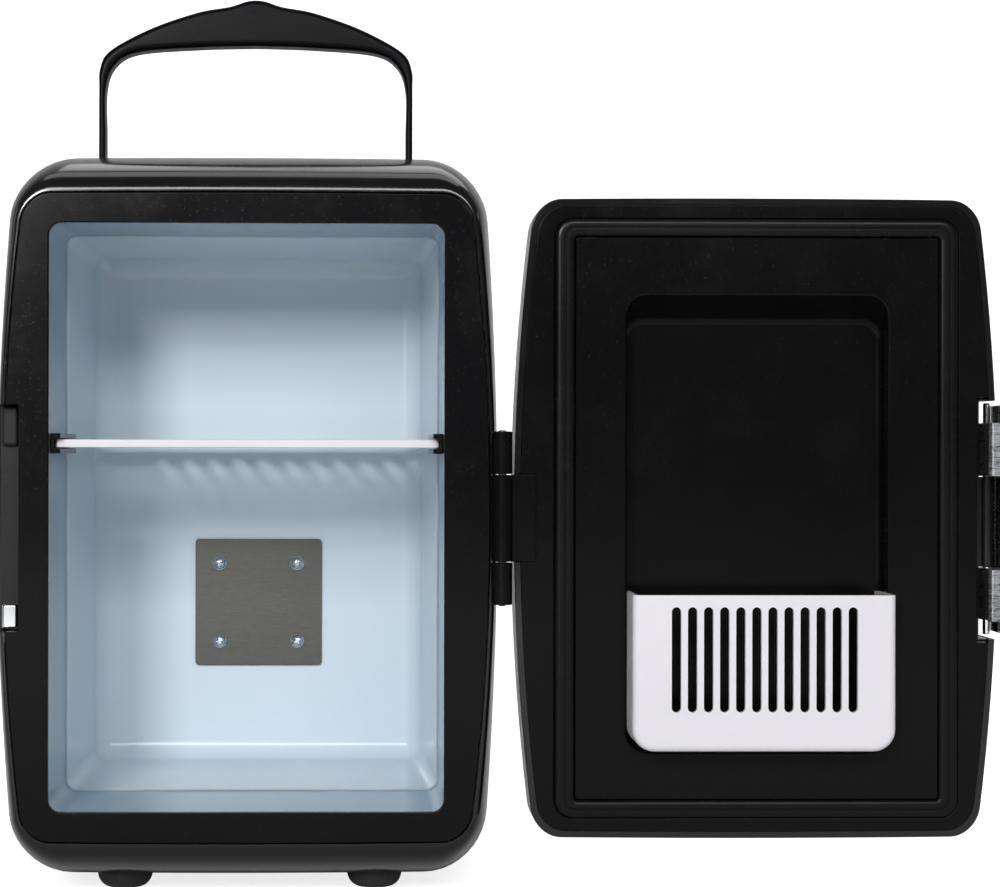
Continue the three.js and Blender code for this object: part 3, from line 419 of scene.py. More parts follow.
gloss_black = plastic("gloss_black", (15, 15, 16), (20, 20, 21), (0.1, 0.16), 0.006, 9.0, dust=0.05)
satin_black = plastic("satin_black", (10, 10, 12), (14, 14, 16), (0.16, 0.2), 0.002, 0.8,
                      Specular_IOR_Level=0.13)
handle_black = plastic("handle_black", (9, 10, 12), (12, 13, 16), (0.3, 0.36), 0.002, 0.8,
                       Specular_IOR_Level=0.06)
door_black = plastic("door_black", (10, 10, 11), (13, 13, 14), (0.16, 0.21), 0.002, 0.6,
                     Specular_IOR_Level=0.12)
matte_black = plastic("matte_black", (16, 16, 17), (22, 22, 23), (0.5, 0.6), 0.03, 0.9,
                      Specular_IOR_Level=0.3)


def tub_plastic():
    """Pale blue sheet, lighter and glossy in the tub; the collar in front of the step is painted a darker
    blue as painted shade, for walls that little light reaches.
    """
    recipe = Recipe("liner_blue")
    cloud = recipe.noise(6.0, 2.0)
    tub = recipe.blend(cloud, shade(209, 222, 232), shade(213, 226, 235))
    # The collar's darker blue is painted shade: it is the same sheet as the tub, darkened where little light
    # falls.
    collar_painted_shade = recipe.blend(cloud, shade(140, 165, 183), shade(146, 171, 188))
    behind = recipe.step(recipe.height("Y"), *(metres((0, 60.3, 0))[1], metres((0, 60.7, 0))[1]))
    colour = recipe.blend(behind, collar_painted_shade, tub)
    return recipe.finish(Base_Color=colour, Roughness=recipe.step(cloud, 0.3, 0.7, 0.2, 0.26))


liner_blue = tub_plastic()
white_plastic = plastic("white_plastic", (219, 217, 223), (224, 222, 228), (0.3, 0.38), 0.004, 1.0)
rubber_foot = plastic("rubber_foot", (38, 38, 40), (48, 48, 50), (0.5, 0.62), 0.03, 0.8, dust=0.15)
gasket_rubber = plastic("gasket_rubber", (12, 12, 14), (16, 16, 18), (0.24, 0.3), 0.006, 0.7,
                        Specular_IOR_Level=0.15)
foam = plastic("foam", (220, 208, 172), (236, 226, 194), (0.9, 0.98), 0.25, 1.6)
ceramic = plastic("ceramic", (232, 230, 222), (244, 242, 236), (0.55, 0.65), 0.01, 0.4)
red_lens = plastic("red_lens", (150, 14, 10), (176, 24, 18), (0.08, 0.14))
green_lens = plastic("green_lens", (18, 120, 36), (30, 146, 48), (0.08, 0.14))

# %% [markdown]
# Metal gets its look from roughness. Brushed aluminium has long fine scratches along one axis, so its noise
# is stretched along it. Chrome is nearly a mirror with faint polishing marks. The door's hooks are die-cast
# and plated, and the rough skin of the casting still shows as uneven lines.
# %% Metals
def metal(name, dark, light, gloss, stretch, scratch, size=300.0, **uniform):
    """Scratches are noise stretched by one factor for each axis. They drive tone, roughness and bump."""
    recipe = Recipe(name, Metallic=1.0, **uniform)
    lines = recipe.noise(size, 4.0, 0.7, recipe.stretched(stretch))
    smudge = recipe.step(recipe.noise(25.0, 3.0), 0.35, 0.7)
    tone = recipe.step(lines, 0.3, 0.7)
    rough = recipe.step(lines, 0.3, 0.7, gloss[0], gloss[1]) + smudge * 0.06
    colour = recipe.blend(tone, shade(*dark), shade(*light))
    return recipe.finish(Base_Color=colour, Roughness=rough, Normal=recipe.bump(lines, scratch / 1000))


brushed_aluminium = metal("brushed_aluminium", (82, 82, 78), (95, 95, 91), (0.4, 0.5), (1, 1, 14), 0.003)
chrome = metal("chrome", (206, 207, 210), (226, 227, 229), (0.05, 0.12), (1, 1, 6), 0.002)
steel = metal("steel", (150, 152, 155), (184, 186, 188), (0.24, 0.4), (6, 1, 1), 0.006)
cast_chrome = metal("cast_chrome", (96, 98, 101), (166, 168, 171), (0.2, 0.5), (0.6, 1, 5), 0.16, 420.0)


def circuit_board():
    """Green lacquer over copper tracks, which show as lighter bands where stretched noise crosses a value."""
    recipe = Recipe("circuit_board")
    tracks = recipe.noise(160.0, 0.0, 0.5, recipe.stretched((1, 1, 4)))
    band = recipe.step(tracks, 0.47, 0.5) * recipe.step(tracks, 0.53, 0.56, 1.0, 0.0)
    colour = recipe.blend(band, shade(22, 84, 46), shade(54, 122, 70))
    return recipe.finish(Base_Color=colour, Roughness=band * 0.1 + 0.4)


board_green = circuit_board()
print("made", len(bpy.data.materials), "materials")

# %% [markdown]
# The cabinet's shell is one glossy moulding wrapped round the whole fridge. From the rim its section swells
# along a quarter ellipse to the belly, then draws in slowly to the back, where the edge is a quarter circle.
# The top has a tray for the folded handle, so grid lines are laid on the tray's sides before it is cut out.
# %% Outer shell
BELLY_Y, BODY_DEPTH, REAR_ROUND, REAR_FALL, REAR_REACH = 60, 205, 8, 9, 160
SHELL_WALL, LIP_EDGE = 2.2, 0.6
POCKET_HALF, POCKET_FRONT, POCKET_BACK, POCKET_FLOOR = 64.3, 88, 172, 262
KEEPER_X, KEEPER_DEEP, KEEPER_LOW, KEEPER_HIGH, KEEPER_BACK = -82.6, -80.6, 98.6, 181, 12
HINGE_X, HINGE_Y, BARREL = 92.8, -1.2, 3.7
LOWER_KNUCKLE, DOOR_KNUCKLE, UPPER_KNUCKLE = (108.5, 123.9), (124.2, 155.7), (156, 171.5)
PANEL_FRONT, PANEL_BACK, PANEL_INSET = 200, 202.5, 2.4
FAR = 300


def body_section(y, inset=0.0):
    """Lip to belly by the height of a quarter ellipse over the depth; behind the belly the section shrinks by
    the sagitta of a long arc."""
    rise = np.sqrt(1 - (1 - min(y, BELLY_Y) / BELLY_Y) ** 2)
    fall = 1 - np.sqrt(1 - (max(y - BELLY_Y, 0) / REAR_REACH) ** 2)
    return grown(mixed(LIP, BELLY, rise), -REAR_FALL * fall - inset)


def body_ring(y, inset=0.0):
    """The shell's ring at a depth, with points on the tray's two sides."""
    return ring(y, outline(body_section(y, inset), marks=(-POCKET_HALF, POCKET_HALF)))


def outer_shell():
    """Rings along the outside, round the rear edge, in to the rear panel's seat, and back along the
    inside."""
    front = BELLY_Y * (1 - np.cos(np.linspace(0, np.pi / 2, 24)))
    depths = [*front, 74, POCKET_FRONT, 102, 116, 130, 144, 158, POCKET_BACK, 184, BODY_DEPTH - REAR_ROUND]
    outside = [body_ring(y) for y in depths]
    turns = np.linspace(0, np.pi / 2, 9)[1:]
    rear_y = BODY_DEPTH - REAR_ROUND
    rear_section = [grown(body_section(rear_y), -REAR_ROUND * (1 - np.cos(t))) for t in turns]
    marks = (-POCKET_HALF, POCKET_HALF)
    rear = [
        ring(rear_y + REAR_ROUND * np.sin(t), outline(s, marks=marks)) for t, s in zip(turns, rear_section)
    ]
    seat = outline(grown(body_section(rear_y), -REAR_ROUND - PANEL_INSET), marks=marks)
    inside = [body_ring(y, SHELL_WALL) for y in (197, 172, 130, 88, 60, 30, 12)]
    lip = outline(grown(LIP, -LIP_EDGE), marks=marks)
    return skin([*outside, *rear, ring(BODY_DEPTH, seat), ring(198, seat), *inside, ring(3.3, lip),
                 ring(0, lip)], False)


hinge_cut = turned([(BARREL + 0.7, LOWER_KNUCKLE[0] - GAP), (BARREL + 0.7, UPPER_KNUCKLE[1] + GAP)],
                   (HINGE_X, HINGE_Y), "z")
hinge_side_cut = block((87, -2, LOWER_KNUCKLE[0] - GAP), (FAR, 3, UPPER_KNUCKLE[1] + GAP))
keeper_cut = block((-FAR, 3.3, KEEPER_LOW), (KEEPER_DEEP, KEEPER_BACK, KEEPER_HIGH))
keeper_front_cut = block((-FAR, -2, KEEPER_LOW), (KEEPER_X, 4, KEEPER_HIGH))
tray_cut = block((-POCKET_HALF, POCKET_FRONT, 240), (POCKET_HALF, POCKET_BACK, FAR))
shell = piece("cabinet_shell", outer_shell(), gloss_black, "cabinet", ["outer_shell"], "gloss_black",
              [tray_cut, keeper_cut, keeper_front_cut, hinge_cut, hinge_side_cut], bevel=0.5)

# %% [markdown]
# The handle's tray is a shallow box in the top. It is its own shape, whose rim follows the curved top, so the
# two meet in a fine parting line as two mouldings do.
# %% Handle tray
def top_height(x, y):
    """Height of the shell's top at a place, from its section there."""
    section = body_section(y)
    return MID_Z + section["b"] * (1 - section["bow_z"] * (x / section["a"]) ** 2)


def tray(low, high, wall, rim):
    """A box open at the top, as rings down the outside, over the rim, down the inside and across the floor.
    Rim gives the height of each point of the rim."""
    floor = POCKET_FLOOR
    inner = fillet(rectangle((low[0], low[1]), (high[0], high[1])), 2.5, 6)
    inner = np.concatenate([np.linspace(p, q, 6, endpoint=False) for p,
                            q in zip(inner, np.roll(inner, -1, 0))])
    outer = offset(inner, wall)

    def level(flat, heights):
        return np.stack([flat[:, 0], flat[:, 1], heights], 1)

    def flat_level(flat, height):
        return level(flat, np.full(len(flat), float(height)))

    edge = rim(inner[:, 0], inner[:, 1])
    rings = [flat_level(outer, floor - wall), level(outer, edge - 0.6), level(offset(inner, 0.5), edge - 0.1)]
    rings += [level(offset(inner, 0.1), edge - 0.25), level(inner, edge - 0.7), flat_level(inner, floor + 2)]
    rings += [flat_level(offset(inner, -0.6), floor + 0.6), flat_level(offset(inner, -2), floor)]
    return skin(rings)


def tray_rim(x, y):
    """The rim lies just under the shell's top."""
    return np.array([top_height(px, py) for px, py in zip(x, y)]) - 0.2


handle_tray = tray((-POCKET_HALF + 0.1, POCKET_FRONT + 0.1), (POCKET_HALF - 0.1, POCKET_BACK - 0.1), 0.08,
                   tray_rim)
piece("handle_tray", handle_tray, satin_black, "cabinet", [], "satin_black", sharp=50)

# %% [markdown]
# The rim is a flat satin frame with a soft inner edge, and carries two of the door's three hinge knuckles. A
# cut in its left side lets the latch hooks through.
# %% Front bezel and hinge
BEZEL_THICK = 3.0


def frame_loop(inner, outer, low, high, edge):
    """A flat frame between two sections: its profile runs up the inner wall, across the front and down the
    outer wall, and the two front edges are quarter circles."""
    turns = np.linspace(0, np.pi / 2, 5)
    rings = [ring(high, outline(inner))]
    rings += [ring(low + edge * (1 - np.sin(t)),
                   outline(grown(inner, edge * (1 - np.cos(t))))) for t in turns]
    rings += [ring(low + edge * (1 - np.sin(t)),
                   outline(grown(outer, -edge * (1 - np.cos(t))))) for t in turns[::-1]]
    rings += [ring(high, outline(outer))]
    return skin(rings, False)


def knuckle(span, tongue_low, tongue_high):
    """A bored barrel round the hinge line with a flat tongue that ties it to its plate."""
    low, high = span
    rings = [(1.8, low), (BARREL - 0.4, low), (BARREL, low + 0.4), (BARREL, high - 0.4), (BARREL - 0.4, high),
             (1.8, high)]
    barrel = skin([placed(circle(r, (HINGE_X, HINGE_Y), 40), z, "z") for r, z in rings], False)
    tongue = bar(rectangle(tongue_low, tongue_high), span, "z", 0.3)
    return joined(barrel, tongue)


bezel = joined(
    frame_loop(OPENING, RIM, 0, BEZEL_THICK, 0.5),
    knuckle(LOWER_KNUCKLE, (86, 0.05), (90, 2.3)),
    knuckle(UPPER_KNUCKLE, (86, 0.05), (90, 2.3)),
)
piece("front_rim", bezel, satin_black, "cabinet", ["front_bezel"], "satin_black",
      [block((-FAR, -2, KEEPER_LOW), (KEEPER_X, 4, KEEPER_HIGH))], bevel=0.15)

hinge_profile = [(0.9, 108), (1.5, 108.5), (1.5, 171.6), (0.9, 172)]
piece("hinge_rod", turned(hinge_profile, (HINGE_X, HINGE_Y), "z", 24), steel, "cabinet", ["hinge_pin"],
      "steel")

# %% [markdown]
# The food compartment is one vacuum-formed tub. Sheet that is drawn into a mould has drafted walls and soft
# corners, and a small step where the tub meets the straight collar behind the rim.
# %% Liner
COLLAR_END, CAVITY_DEPTH, LINER_WALL, LINER_Y = 60.5, 133, 1.5, 3.3
TUB_FRONT = {"a": 71, "b": 106.2, "r": 4, "bow_x": 0, "bow_z": 0}
TUB_BACK = {"a": 66.9, "b": 102.9, "r": 6, "bow_x": 0, "bow_z": 0}
COOLER_Z = 101.9


def liner():
    """The inside from the floor to the opening, then the flange, and back along the outside of the sheet."""
    turns = np.linspace(0, np.pi / 2, 9)
    floor_edge = [(CAVITY_DEPTH - 8 + 8 * np.sin(t), 8 * (1 - np.cos(t))) for t in turns]
    inside = [ring(y, outline(grown(TUB_BACK, -inset))) for y, inset in floor_edge[::-1]]
    draft = [ring(COLLAR_END + 1.2 + s * 63.3, outline(mixed(TUB_FRONT, TUB_BACK, s))) for s in (0.9, 0.6,
                                                                                                 0.3, 0.06)]
    step = [ring(COLLAR_END + 0.5, outline(grown(TUB_FRONT, 0.25))), ring(COLLAR_END, outline(OPENING))]
    flange = grown(OPENING, 5)
    front = [ring(LINER_Y, outline(OPENING)), ring(LINER_Y, outline(flange)),
             ring(LINER_Y + LINER_WALL, outline(flange))]
    back = [
        ring(LINER_Y + LINER_WALL, outline(grown(OPENING, LINER_WALL))),
        ring(COLLAR_END + 2, outline(grown(OPENING, LINER_WALL))),
        ring(CAVITY_DEPTH - 4, outline(grown(TUB_BACK, LINER_WALL))),
        ring(CAVITY_DEPTH + LINER_WALL, outline(grown(TUB_BACK, -5))),
    ]
    return skin([*inside, *draft, *step, *front, *back])


window = block((-21, CAVITY_DEPTH - 5, COOLER_Z - 21), (21, CAVITY_DEPTH + 40, COOLER_Z + 21))
piece("compartment", liner(), liner_blue, "cabinet", ["liner"], "liner_blue", [window], sharp=50)

# %% [markdown]
# Two channels on the collar's walls carry the shelf, a thin slotted plate. Its slots let cold air fall
# through, and throw the striped shadow on the back wall.
# %% Rails and shelf
RAIL_Z, RAIL_HEIGHT, RAIL_SLOT, RAIL_REACH = 166.9, 7.4, 3.7, 3.6
SHELF = {"half": 70.2, "rear_half": 65.2, "thick": 3, "front": 8, "shoulder": 58, "back": 122}


def rail(side):
    """A channel's cross-section, with small rounds, carried along y. Side is -1 for the left one."""
    wall = OPENING["a"] - GAP
    tip, web = wall - RAIL_REACH, wall - 1
    top, bottom = RAIL_Z + RAIL_HEIGHT / 2, RAIL_Z - RAIL_HEIGHT / 2
    upper, lower = RAIL_Z + RAIL_SLOT / 2, RAIL_Z - RAIL_SLOT / 2
    loop = [[tip, lower], [tip, bottom], [wall, bottom], [wall, top], [tip, top], [tip, upper],
            [web, upper], [web, lower]]
    loop = np.array(loop) * [side, 1]
    return bar(fillet(loop[:: int(side)], 0.35, 3), (3.6, 60), "y", 0.2)


for side, word in ((-1, "left"), (1, "right")):
    piece(f"rail_{word}", rail(side), satin_black, "cabinet", [f"shelf_rail_{word}"], "satin_black")


def stadium(x, y_low, y_high, half):
    """A slot's outline with round ends."""
    t = np.linspace(0, np.pi, 9)
    top = np.stack([x + half * np.cos(t), y_high - half + half * np.sin(t)], 1)
    bottom = np.stack([x - half * np.cos(t), y_low + half - half * np.sin(t)], 1)
    return np.concatenate([top, bottom])


def shelf():
    """The shelf's plan with small rounds, made into a plate with soft edges."""
    s = SHELF
    plan = [[-s["half"], s["front"]], [s["half"], s["front"]], [s["half"], s["shoulder"]],
            [s["rear_half"], s["back"]],
            [-s["rear_half"], s["back"]], [-s["half"], s["shoulder"]]]
    return bar(fillet(plan, 1.5, 5), (RAIL_Z - s["thick"] / 2, RAIL_Z + s["thick"] / 2), "z", 0.4)


shelf_slots = [
    skin([placed(stadium(x, low, high, 3), z, "z") for z in (RAIL_Z - 5, RAIL_Z + 5)])
    for x in 10.2 * (np.arange(12) - 5.5) for low, high in ((16, 62), (68, 114))
]
piece("slotted_shelf", shelf(), white_plastic, "shelf", ["shelf"], "white_plastic", shelf_slots, bevel=0.3)

# %% [markdown]
# The cold plate is sheet metal held by four screws with cross recesses. A pan head is a profile turned round
# its axis, and the recess is cut by two crossed blocks.
# %% Cold plate and screws
PLATE_BACK, PLATE_THICK, PLATE_SCREW = 132.7, 1.5, 16
plate_loop = fillet(rectangle((-26, COOLER_Z - 26), (26, COOLER_Z + 26)), 1.7, 6)
piece("cooling_plate", bar(plate_loop, (PLATE_BACK - PLATE_THICK, PLATE_BACK), "y", 0.2), brushed_aluminium,
      "cabinet", ["cold_plate"], "brushed_aluminium")


def pan_screw(x, z, face, out, flange, head, length):
    """A washer flange, a domed head and a shank, turned round y; out is -1 for a head that faces the
    front."""
    dome = [(head * np.cos(t), 0.9 + 1.2 * np.sin(t)) for t in np.linspace(0, 1.35, 7)]
    profile = [(0.02, -length), (1.5, -length), (1.5, 0), (flange - 0.15, 0), (flange, 0.15), (flange, 0.55),
               (flange - 0.15, 0.7), *dome, (0.05, 2.1)]
    level = face + out * GAP
    return turned([(r, level + out * t) for r, t in profile], (x, z), "y", 28)


def cross_recess(x, z, face, out, reach):
    """Two crossed blocks that cut a screw's driving recess."""
    depths = sorted((face + out * 0.9, face + out * 4))
    cuts = []
    for wide, high in ((reach, 0.34), (0.34, reach)):
        cuts.append(block((x - wide, depths[0], z - high), (x + wide, depths[1], z + high)))
    return cuts


def screws(name, places, face, out, flange, head, length, nodes, material, slot):
    """A driven screw at each place, turned a little differently as a driver leaves them."""
    for i, (x, z) in enumerate(places):
        shape = pan_screw(x, z, face, out, flange, head, length)
        turn = 0.35 + 0.9 * i
        spin = np.array([[np.cos(turn), -np.sin(turn)], [np.sin(turn), np.cos(turn)]])
        cuts = []
        for points, faces in cross_recess(0, 0, face, out, head * 0.62):
            flat = points[:, [0, 2]] @ spin.T + (x, z)
            cuts.append((np.stack([flat[:, 0], points[:, 1], flat[:, 1]], 1), faces))
        piece(f"{name}_{i + 1}", shape, material, "cabinet", [f"{nodes}_{i + 1}"], slot, cuts, sharp=30)


plate_places = [(i * PLATE_SCREW, COOLER_Z + k * PLATE_SCREW) for i in (-1, 1) for k in (-1, 1)]
screws("plate_screw", plate_places, PLATE_BACK - PLATE_THICK, -1, 2.9, 2.3, 10, "cold_plate_screw", chrome,
       "chrome")

# %% [markdown]
# The carry handle is a bail with thin legs that thicken into a grip. Two smooth curves, one for its outside
# and one for its inside, are joined station by station by a round-cornered section.
# %% Handle
HANDLE_Y, HANDLE_Z, HANDLE_HALF, LEG_IN, LEG_OUT = 95, 269, 6, 59.6, 62.2


def smooth_path(knots, count):
    """A Catmull-Rom curve through the knots, sampled at even steps of its length."""
    knots = np.asarray(knots, float)
    padded = np.concatenate([[2 * knots[0] - knots[1]], knots, [2 * knots[-1] - knots[-2]]])
    t = np.linspace(0, 1, 24, endpoint=False)[:, None]
    spans = []
    for p, q, r, s in zip(padded, padded[1:], padded[2:], padded[3:]):
        square, cube = 2 * p - 5 * q + 4 * r - s, 3 * q - p - 3 * r + s
        spans.append(0.5 * (2 * q + (r - p) * t + square * t**2 + cube * t**3))
    curve = np.concatenate([*spans, knots[-1:]])
    run = np.concatenate([[0], np.cumsum(np.linalg.norm(np.diff(curve, axis=0), axis=1))])
    even = np.linspace(0, run[-1], count)
    return np.stack([np.interp(even, run, curve[:, k]) for k in (0, 1)], 1)


def mirrored(knots):
    """Knots of the right half, followed by the same ones on the left in reverse."""
    right = np.asarray(knots, float)
    return np.concatenate([right, (right * [-1, 1])[::-1]])


def handle():
    """Each station has a round-cornered section between the inner and the outer curve; the legs end in
    bosses."""
    outer = smooth_path(mirrored([(LEG_OUT, 269), (LEG_OUT, 290), (LEG_OUT, 307.6), (61.9, 315.9),
                                  (57.9, 323), (42, 331.8),
                                  (23.2, 338.4), (10.3, 340.8), (3, 343.1)]), 120)
    inner = smooth_path(mirrored([(LEG_IN, 269), (LEG_IN, 290), (LEG_IN, 307.5), (56, 317.4), (46.7, 322.5),
                                  (23.2, 324.5),
                                  (4, 325.1)]), 120)
    rings = []
    for near, far in zip(inner, outer):
        thick = np.linalg.norm(far - near)
        section = fillet([(0, -HANDLE_HALF), (thick, -HANDLE_HALF), (thick, HANDLE_HALF), (0, HANDLE_HALF)],
                         min(2.4, 0.42 * thick), 5)
        flat = near + section[:, :1] / thick * (far - near)
        rings.append(np.stack([flat[:, 0], HANDLE_Y + section[:, 1], flat[:, 1]], 1))
    bow = skin(rings)
    bosses = [bar(circle(6, (HANDLE_Y, HANDLE_Z), 40), (side * 60.9 - 1.3, side * 60.9 + 1.3), "x",
                  0.4) for side in (-1, 1)]
    return joined(bow, *bosses)


bail = piece("carry_handle", handle(), handle_black, "handle", ["handle"], "satin_black")
for side, word in ((-1, "left"), (1, "right")):
    profile = [(0.1, 58.4), (3.2, 58.4), (3.6, 58.8), (3.6, 59.2), (2, 59.3), (2, 66)]
    pivot = turned([(r, side * x) for r, x in profile], (HANDLE_Y, HANDLE_Z), "x")
    piece(f"handle_pivot_{word}", pivot, satin_black, "cabinet", [f"handle_pin_{word}"], "satin_black")

# %% [markdown]
# Four soft domed feet keep the shell off the table. A foot is a quarter-round profile turned round a vertical
# axis, and its top is hidden inside the shell's bottom.
# %% Feet
FOOT_X, FOOT_YS, FOOT_R, FOOT_FLAT, FOOT_HEIGHT = 47, (40, 150), 10.4, 5.5, 8.5


def foot(x, y):
    """A flat sole, a quarter-round side and a short neck."""
    turns = np.linspace(0, np.pi / 2, 9)
    side = [(FOOT_FLAT + (FOOT_R - FOOT_FLAT) * np.sin(t), 6 * (1 - np.cos(t))) for t in turns]
    return turned([(0.1, 0), (FOOT_FLAT * 0.5, 0), *side, (FOOT_R - 0.2, FOOT_HEIGHT), (0.1, FOOT_HEIGHT)],
                  (x, y), "z", 40)


for y, row in zip(FOOT_YS, ("front", "rear")):
    for side, word in ((-1, "left"), (1, "right")):
        piece(f"{row}_foot_{word}", foot(side * FOOT_X, y), rubber_foot, "cabinet", [f"foot_{row}_{word}"],
              "rubber_foot")

# %% [markdown]
# The door is a shallow cup. Its side runs straight back from the rim, turns inwards along a quarter ellipse,
# and ends in a slightly crowned face. The latch sits in a pocket in its free edge.
# %% Door shell
DOOR_X = 2 * HINGE_X
DOOR_SIDE, DOOR_DOME, DOOR_DEPTH, DOOR_WALL, DOME_REACH = 20, 17, 39.5, 2, 22
LATCH_X, LATCH_Y, LATCH_LOW, LATCH_HIGH = DOOR_X + 86.6, 10, 97.9, 181.5
HOOKS = ((102.8, 121.7), (155.5, 174.9))
DOOR_MIDDLE = (DOOR_X, MID_Z)


def door_section(inset):
    """The door's outline shrunk by a distance, with corners that stay soft."""
    return {**grown(DOOR, -inset), "r": max(DOOR["r"] - 0.3 * inset, 3)}


def door_cup(wall, start):
    """Rings of the cup: its straight side, the rounded edge and the crown, drawn in by a wall. The crown
    rises by the product of two parabolas, one across and one up."""
    rings = [ring(start, outline(door_section(wall + 0.3), DOOR_MIDDLE))]
    rings += [ring(start + 0.3, outline(door_section(wall), DOOR_MIDDLE)),
              ring(10, outline(door_section(wall), DOOR_MIDDLE))]
    for t in np.linspace(0, np.pi / 2, 15):
        section = door_section(wall + DOME_REACH * (1 - np.cos(t)))
        rings.append(ring(DOOR_SIDE + (DOOR_DOME - wall) * np.sin(t), outline(section, DOOR_MIDDLE)))
    crown = door_section(wall + DOME_REACH)
    rise = DOOR_DEPTH - DOOR_SIDE - DOOR_DOME
    for share in (0.97, 0.9, 0.8, 0.65, 0.5, 0.35, 0.2, 0.08):
        section = {**crown, "a": crown["a"] * share, "b": crown["b"] * share, "r": crown["r"] * share}
        level = ring(DOOR_SIDE + DOOR_DOME - wall, outline(section, DOOR_MIDDLE))
        across, up = (level[:, 0] - DOOR_X) / crown["a"], (level[:, 2] - MID_Z) / crown["b"]
        level[:, 1] += rise * (1 - across**2) * (1 - up**2)
        rings.append(level)
    return rings


WELL_LOW, WELL_HIGH = 96, 183
WELL_DEEP, WELL_BACK = 82, 18
WELL_SHALLOW, WELL_TAIL_BACK = 84.8, 26
latch_cut = block((DOOR_X + WELL_DEEP, -3, WELL_LOW), (DOOR_X + 130, WELL_BACK, WELL_HIGH))
latch_tail_cut = block((DOOR_X + WELL_SHALLOW, 17, WELL_LOW), (DOOR_X + 130, WELL_TAIL_BACK, WELL_HIGH))
tongue_cut = block((DOOR_X - 92, -3, DOOR_KNUCKLE[0] - GAP), (DOOR_X - 84.5, 2.6, DOOR_KNUCKLE[1] + GAP))
cup = skin([*door_cup(DOOR_WALL, GAP)[::-1], *door_cup(0, GAP)])
piece("door_shell", cup, gloss_black, "door", ["door_outer_shell"], "gloss_black",
      [latch_cut, latch_tail_cut, tongue_cut], bevel=0.4)


def latch_tray():
    """The pocket's thin walls: a stepped profile, deep where the hooks turn and shallow under the flap's
    tail, carried along z, with a plate closing each end."""
    inner = [(WELL_DEEP, 2.6), (WELL_DEEP, WELL_BACK), (WELL_SHALLOW, WELL_BACK),
             (WELL_SHALLOW, WELL_TAIL_BACK), (86.6, WELL_TAIL_BACK)]
    outer = [(86.6, 26.6), (84.2, 26.6), (84.2, 18.6), (81.4, 18.6), (81.4, 2.6)]
    walls = bar(np.array([*inner, *outer]) + (DOOR_X, 0), (WELL_LOW, WELL_HIGH), "z", 0.05)
    plate = rectangle((DOOR_X + 81.4, 2.6), (DOOR_X + 86.4, 26.6))
    ends = [bar(plate, span, "z", 0.05) for span in ((95.4, WELL_LOW), (WELL_HIGH, 183.6))]
    return joined(walls, *ends)


# %% [markdown]
# The door's inner panel is one moulding: a flat border, a groove for the seal, a raised middle and a deep
# recess that holds the basket. Rings from the outer edge to the middle of the recess give all of it.
# %% Door panel
SEAL_OUTER = {"a": 73.5, "b": 108.9, "r": 6.5, "bow_x": 0, "bow_z": 0}
SEAL_INNER = {"a": 66.5, "b": 102.5, "r": 1.3, "bow_x": 0, "bow_z": 0}
PANEL_RAISE, PANEL_THICK, GROOVE_Y = 1.5, 2.2, 1.5
RECESS_HALF, RECESS_LOW, RECESS_HIGH, RECESS_R, RECESS_Y, RECESS_SLOPE = 47.6, 55, 220.9, 7.3, 10.5, 8


def recess_outline(grow, drop):
    """The recess's outline, grown all round and with its top lowered by a drop."""
    half_height = (RECESS_HIGH - RECESS_LOW - drop) / 2
    section = {"a": RECESS_HALF + grow, "b": half_height + grow, "r": RECESS_R + max(grow, -4)}
    return outline(section, (DOOR_X, RECESS_LOW + half_height))


def door_panel():
    """From the middle of the back, out along it, round the edge, over groove, raised plug and recess."""
    edge = 2.3
    back = [ring(12.5, recess_outline(2, RECESS_SLOPE)), ring(PANEL_THICK, recess_outline(2, 0))]
    border = [ring(y, outline(door_section(edge + inset), DOOR_MIDDLE))
              for y, inset in ((PANEL_THICK, 0), (0.35, 0), (0.1, 0.1), (0, 0.35))]
    groove_out, groove_in = grown(SEAL_OUTER, 0.3), grown(SEAL_INNER, -0.3)
    groove = [(0, grown(groove_out, 0.25)), (0.25, groove_out), (GROOVE_Y, groove_out), (GROOVE_Y, groove_in)]
    plug = [(-PANEL_RAISE + 0.3, groove_in), (-PANEL_RAISE, grown(groove_in, -0.3))]
    steps = [ring(y, outline(s, DOOR_MIDDLE)) for y, s in groove + plug]
    t = np.linspace(0, np.pi / 2, 5)
    mouth = [ring(-PANEL_RAISE + 0.8 * (1 - np.cos(a)), recess_outline(0.8 * (1 - np.sin(a)), 0)) for a in t]
    floor = [ring(RECESS_Y - 2 * (1 - np.sin(a)),
                  recess_outline(-2 * (1 - np.cos(a)), RECESS_SLOPE * (0.85 + 0.15 * np.sin(a)))) for a in t]
    return skin([*back, *border, *steps, *mouth, *floor])


panel_knuckle = knuckle(DOOR_KNUCKLE, (HINGE_X + 1, -0.9), (DOOR_X - 80.5, 2))
panel_cut = block((DOOR_X + 80.7, -4, 94.7), (DOOR_X + 130, 30, 184.3))
piece("door_panel", joined(door_panel(), panel_knuckle), door_black, "door", ["door_inner_panel"],
      "satin_black",
      [panel_cut], bevel=0.12)

# %% [markdown]
# The seal is an extruded rubber strip bent round the door, with a soft crown and a thin groove along it. Its
# ends meet in a butt joint on the hinge side, which shows as a fine line.
# %% Door seal
def seal():
    """A profile from the outer to the inner edge and back underneath, carried round between two outlines."""
    profile = [(0, 1.2), (0, -0.9), (0.05, -1.6), (0.14, -2.0), (0.3, -2.1), (0.44, -2.05), (0.47, -1.75),
               (0.53, -1.75),
               (0.56, -2.05), (0.7, -2.1), (0.86, -2.0), (0.95, -1.6), (1, -0.9), (1, 1.2)]
    return skin([ring(y, outline(mixed(SEAL_OUTER, SEAL_INNER, s), DOOR_MIDDLE)) for s, y in profile], False)


joint_cut = block((DOOR_X - 74, -2.4, 81.7), (DOOR_X - 66, -1.5, 82.1))
piece("door_seal", seal(), gasket_rubber, "door", ["door_gasket"], "gasket_rubber", [joint_cut])

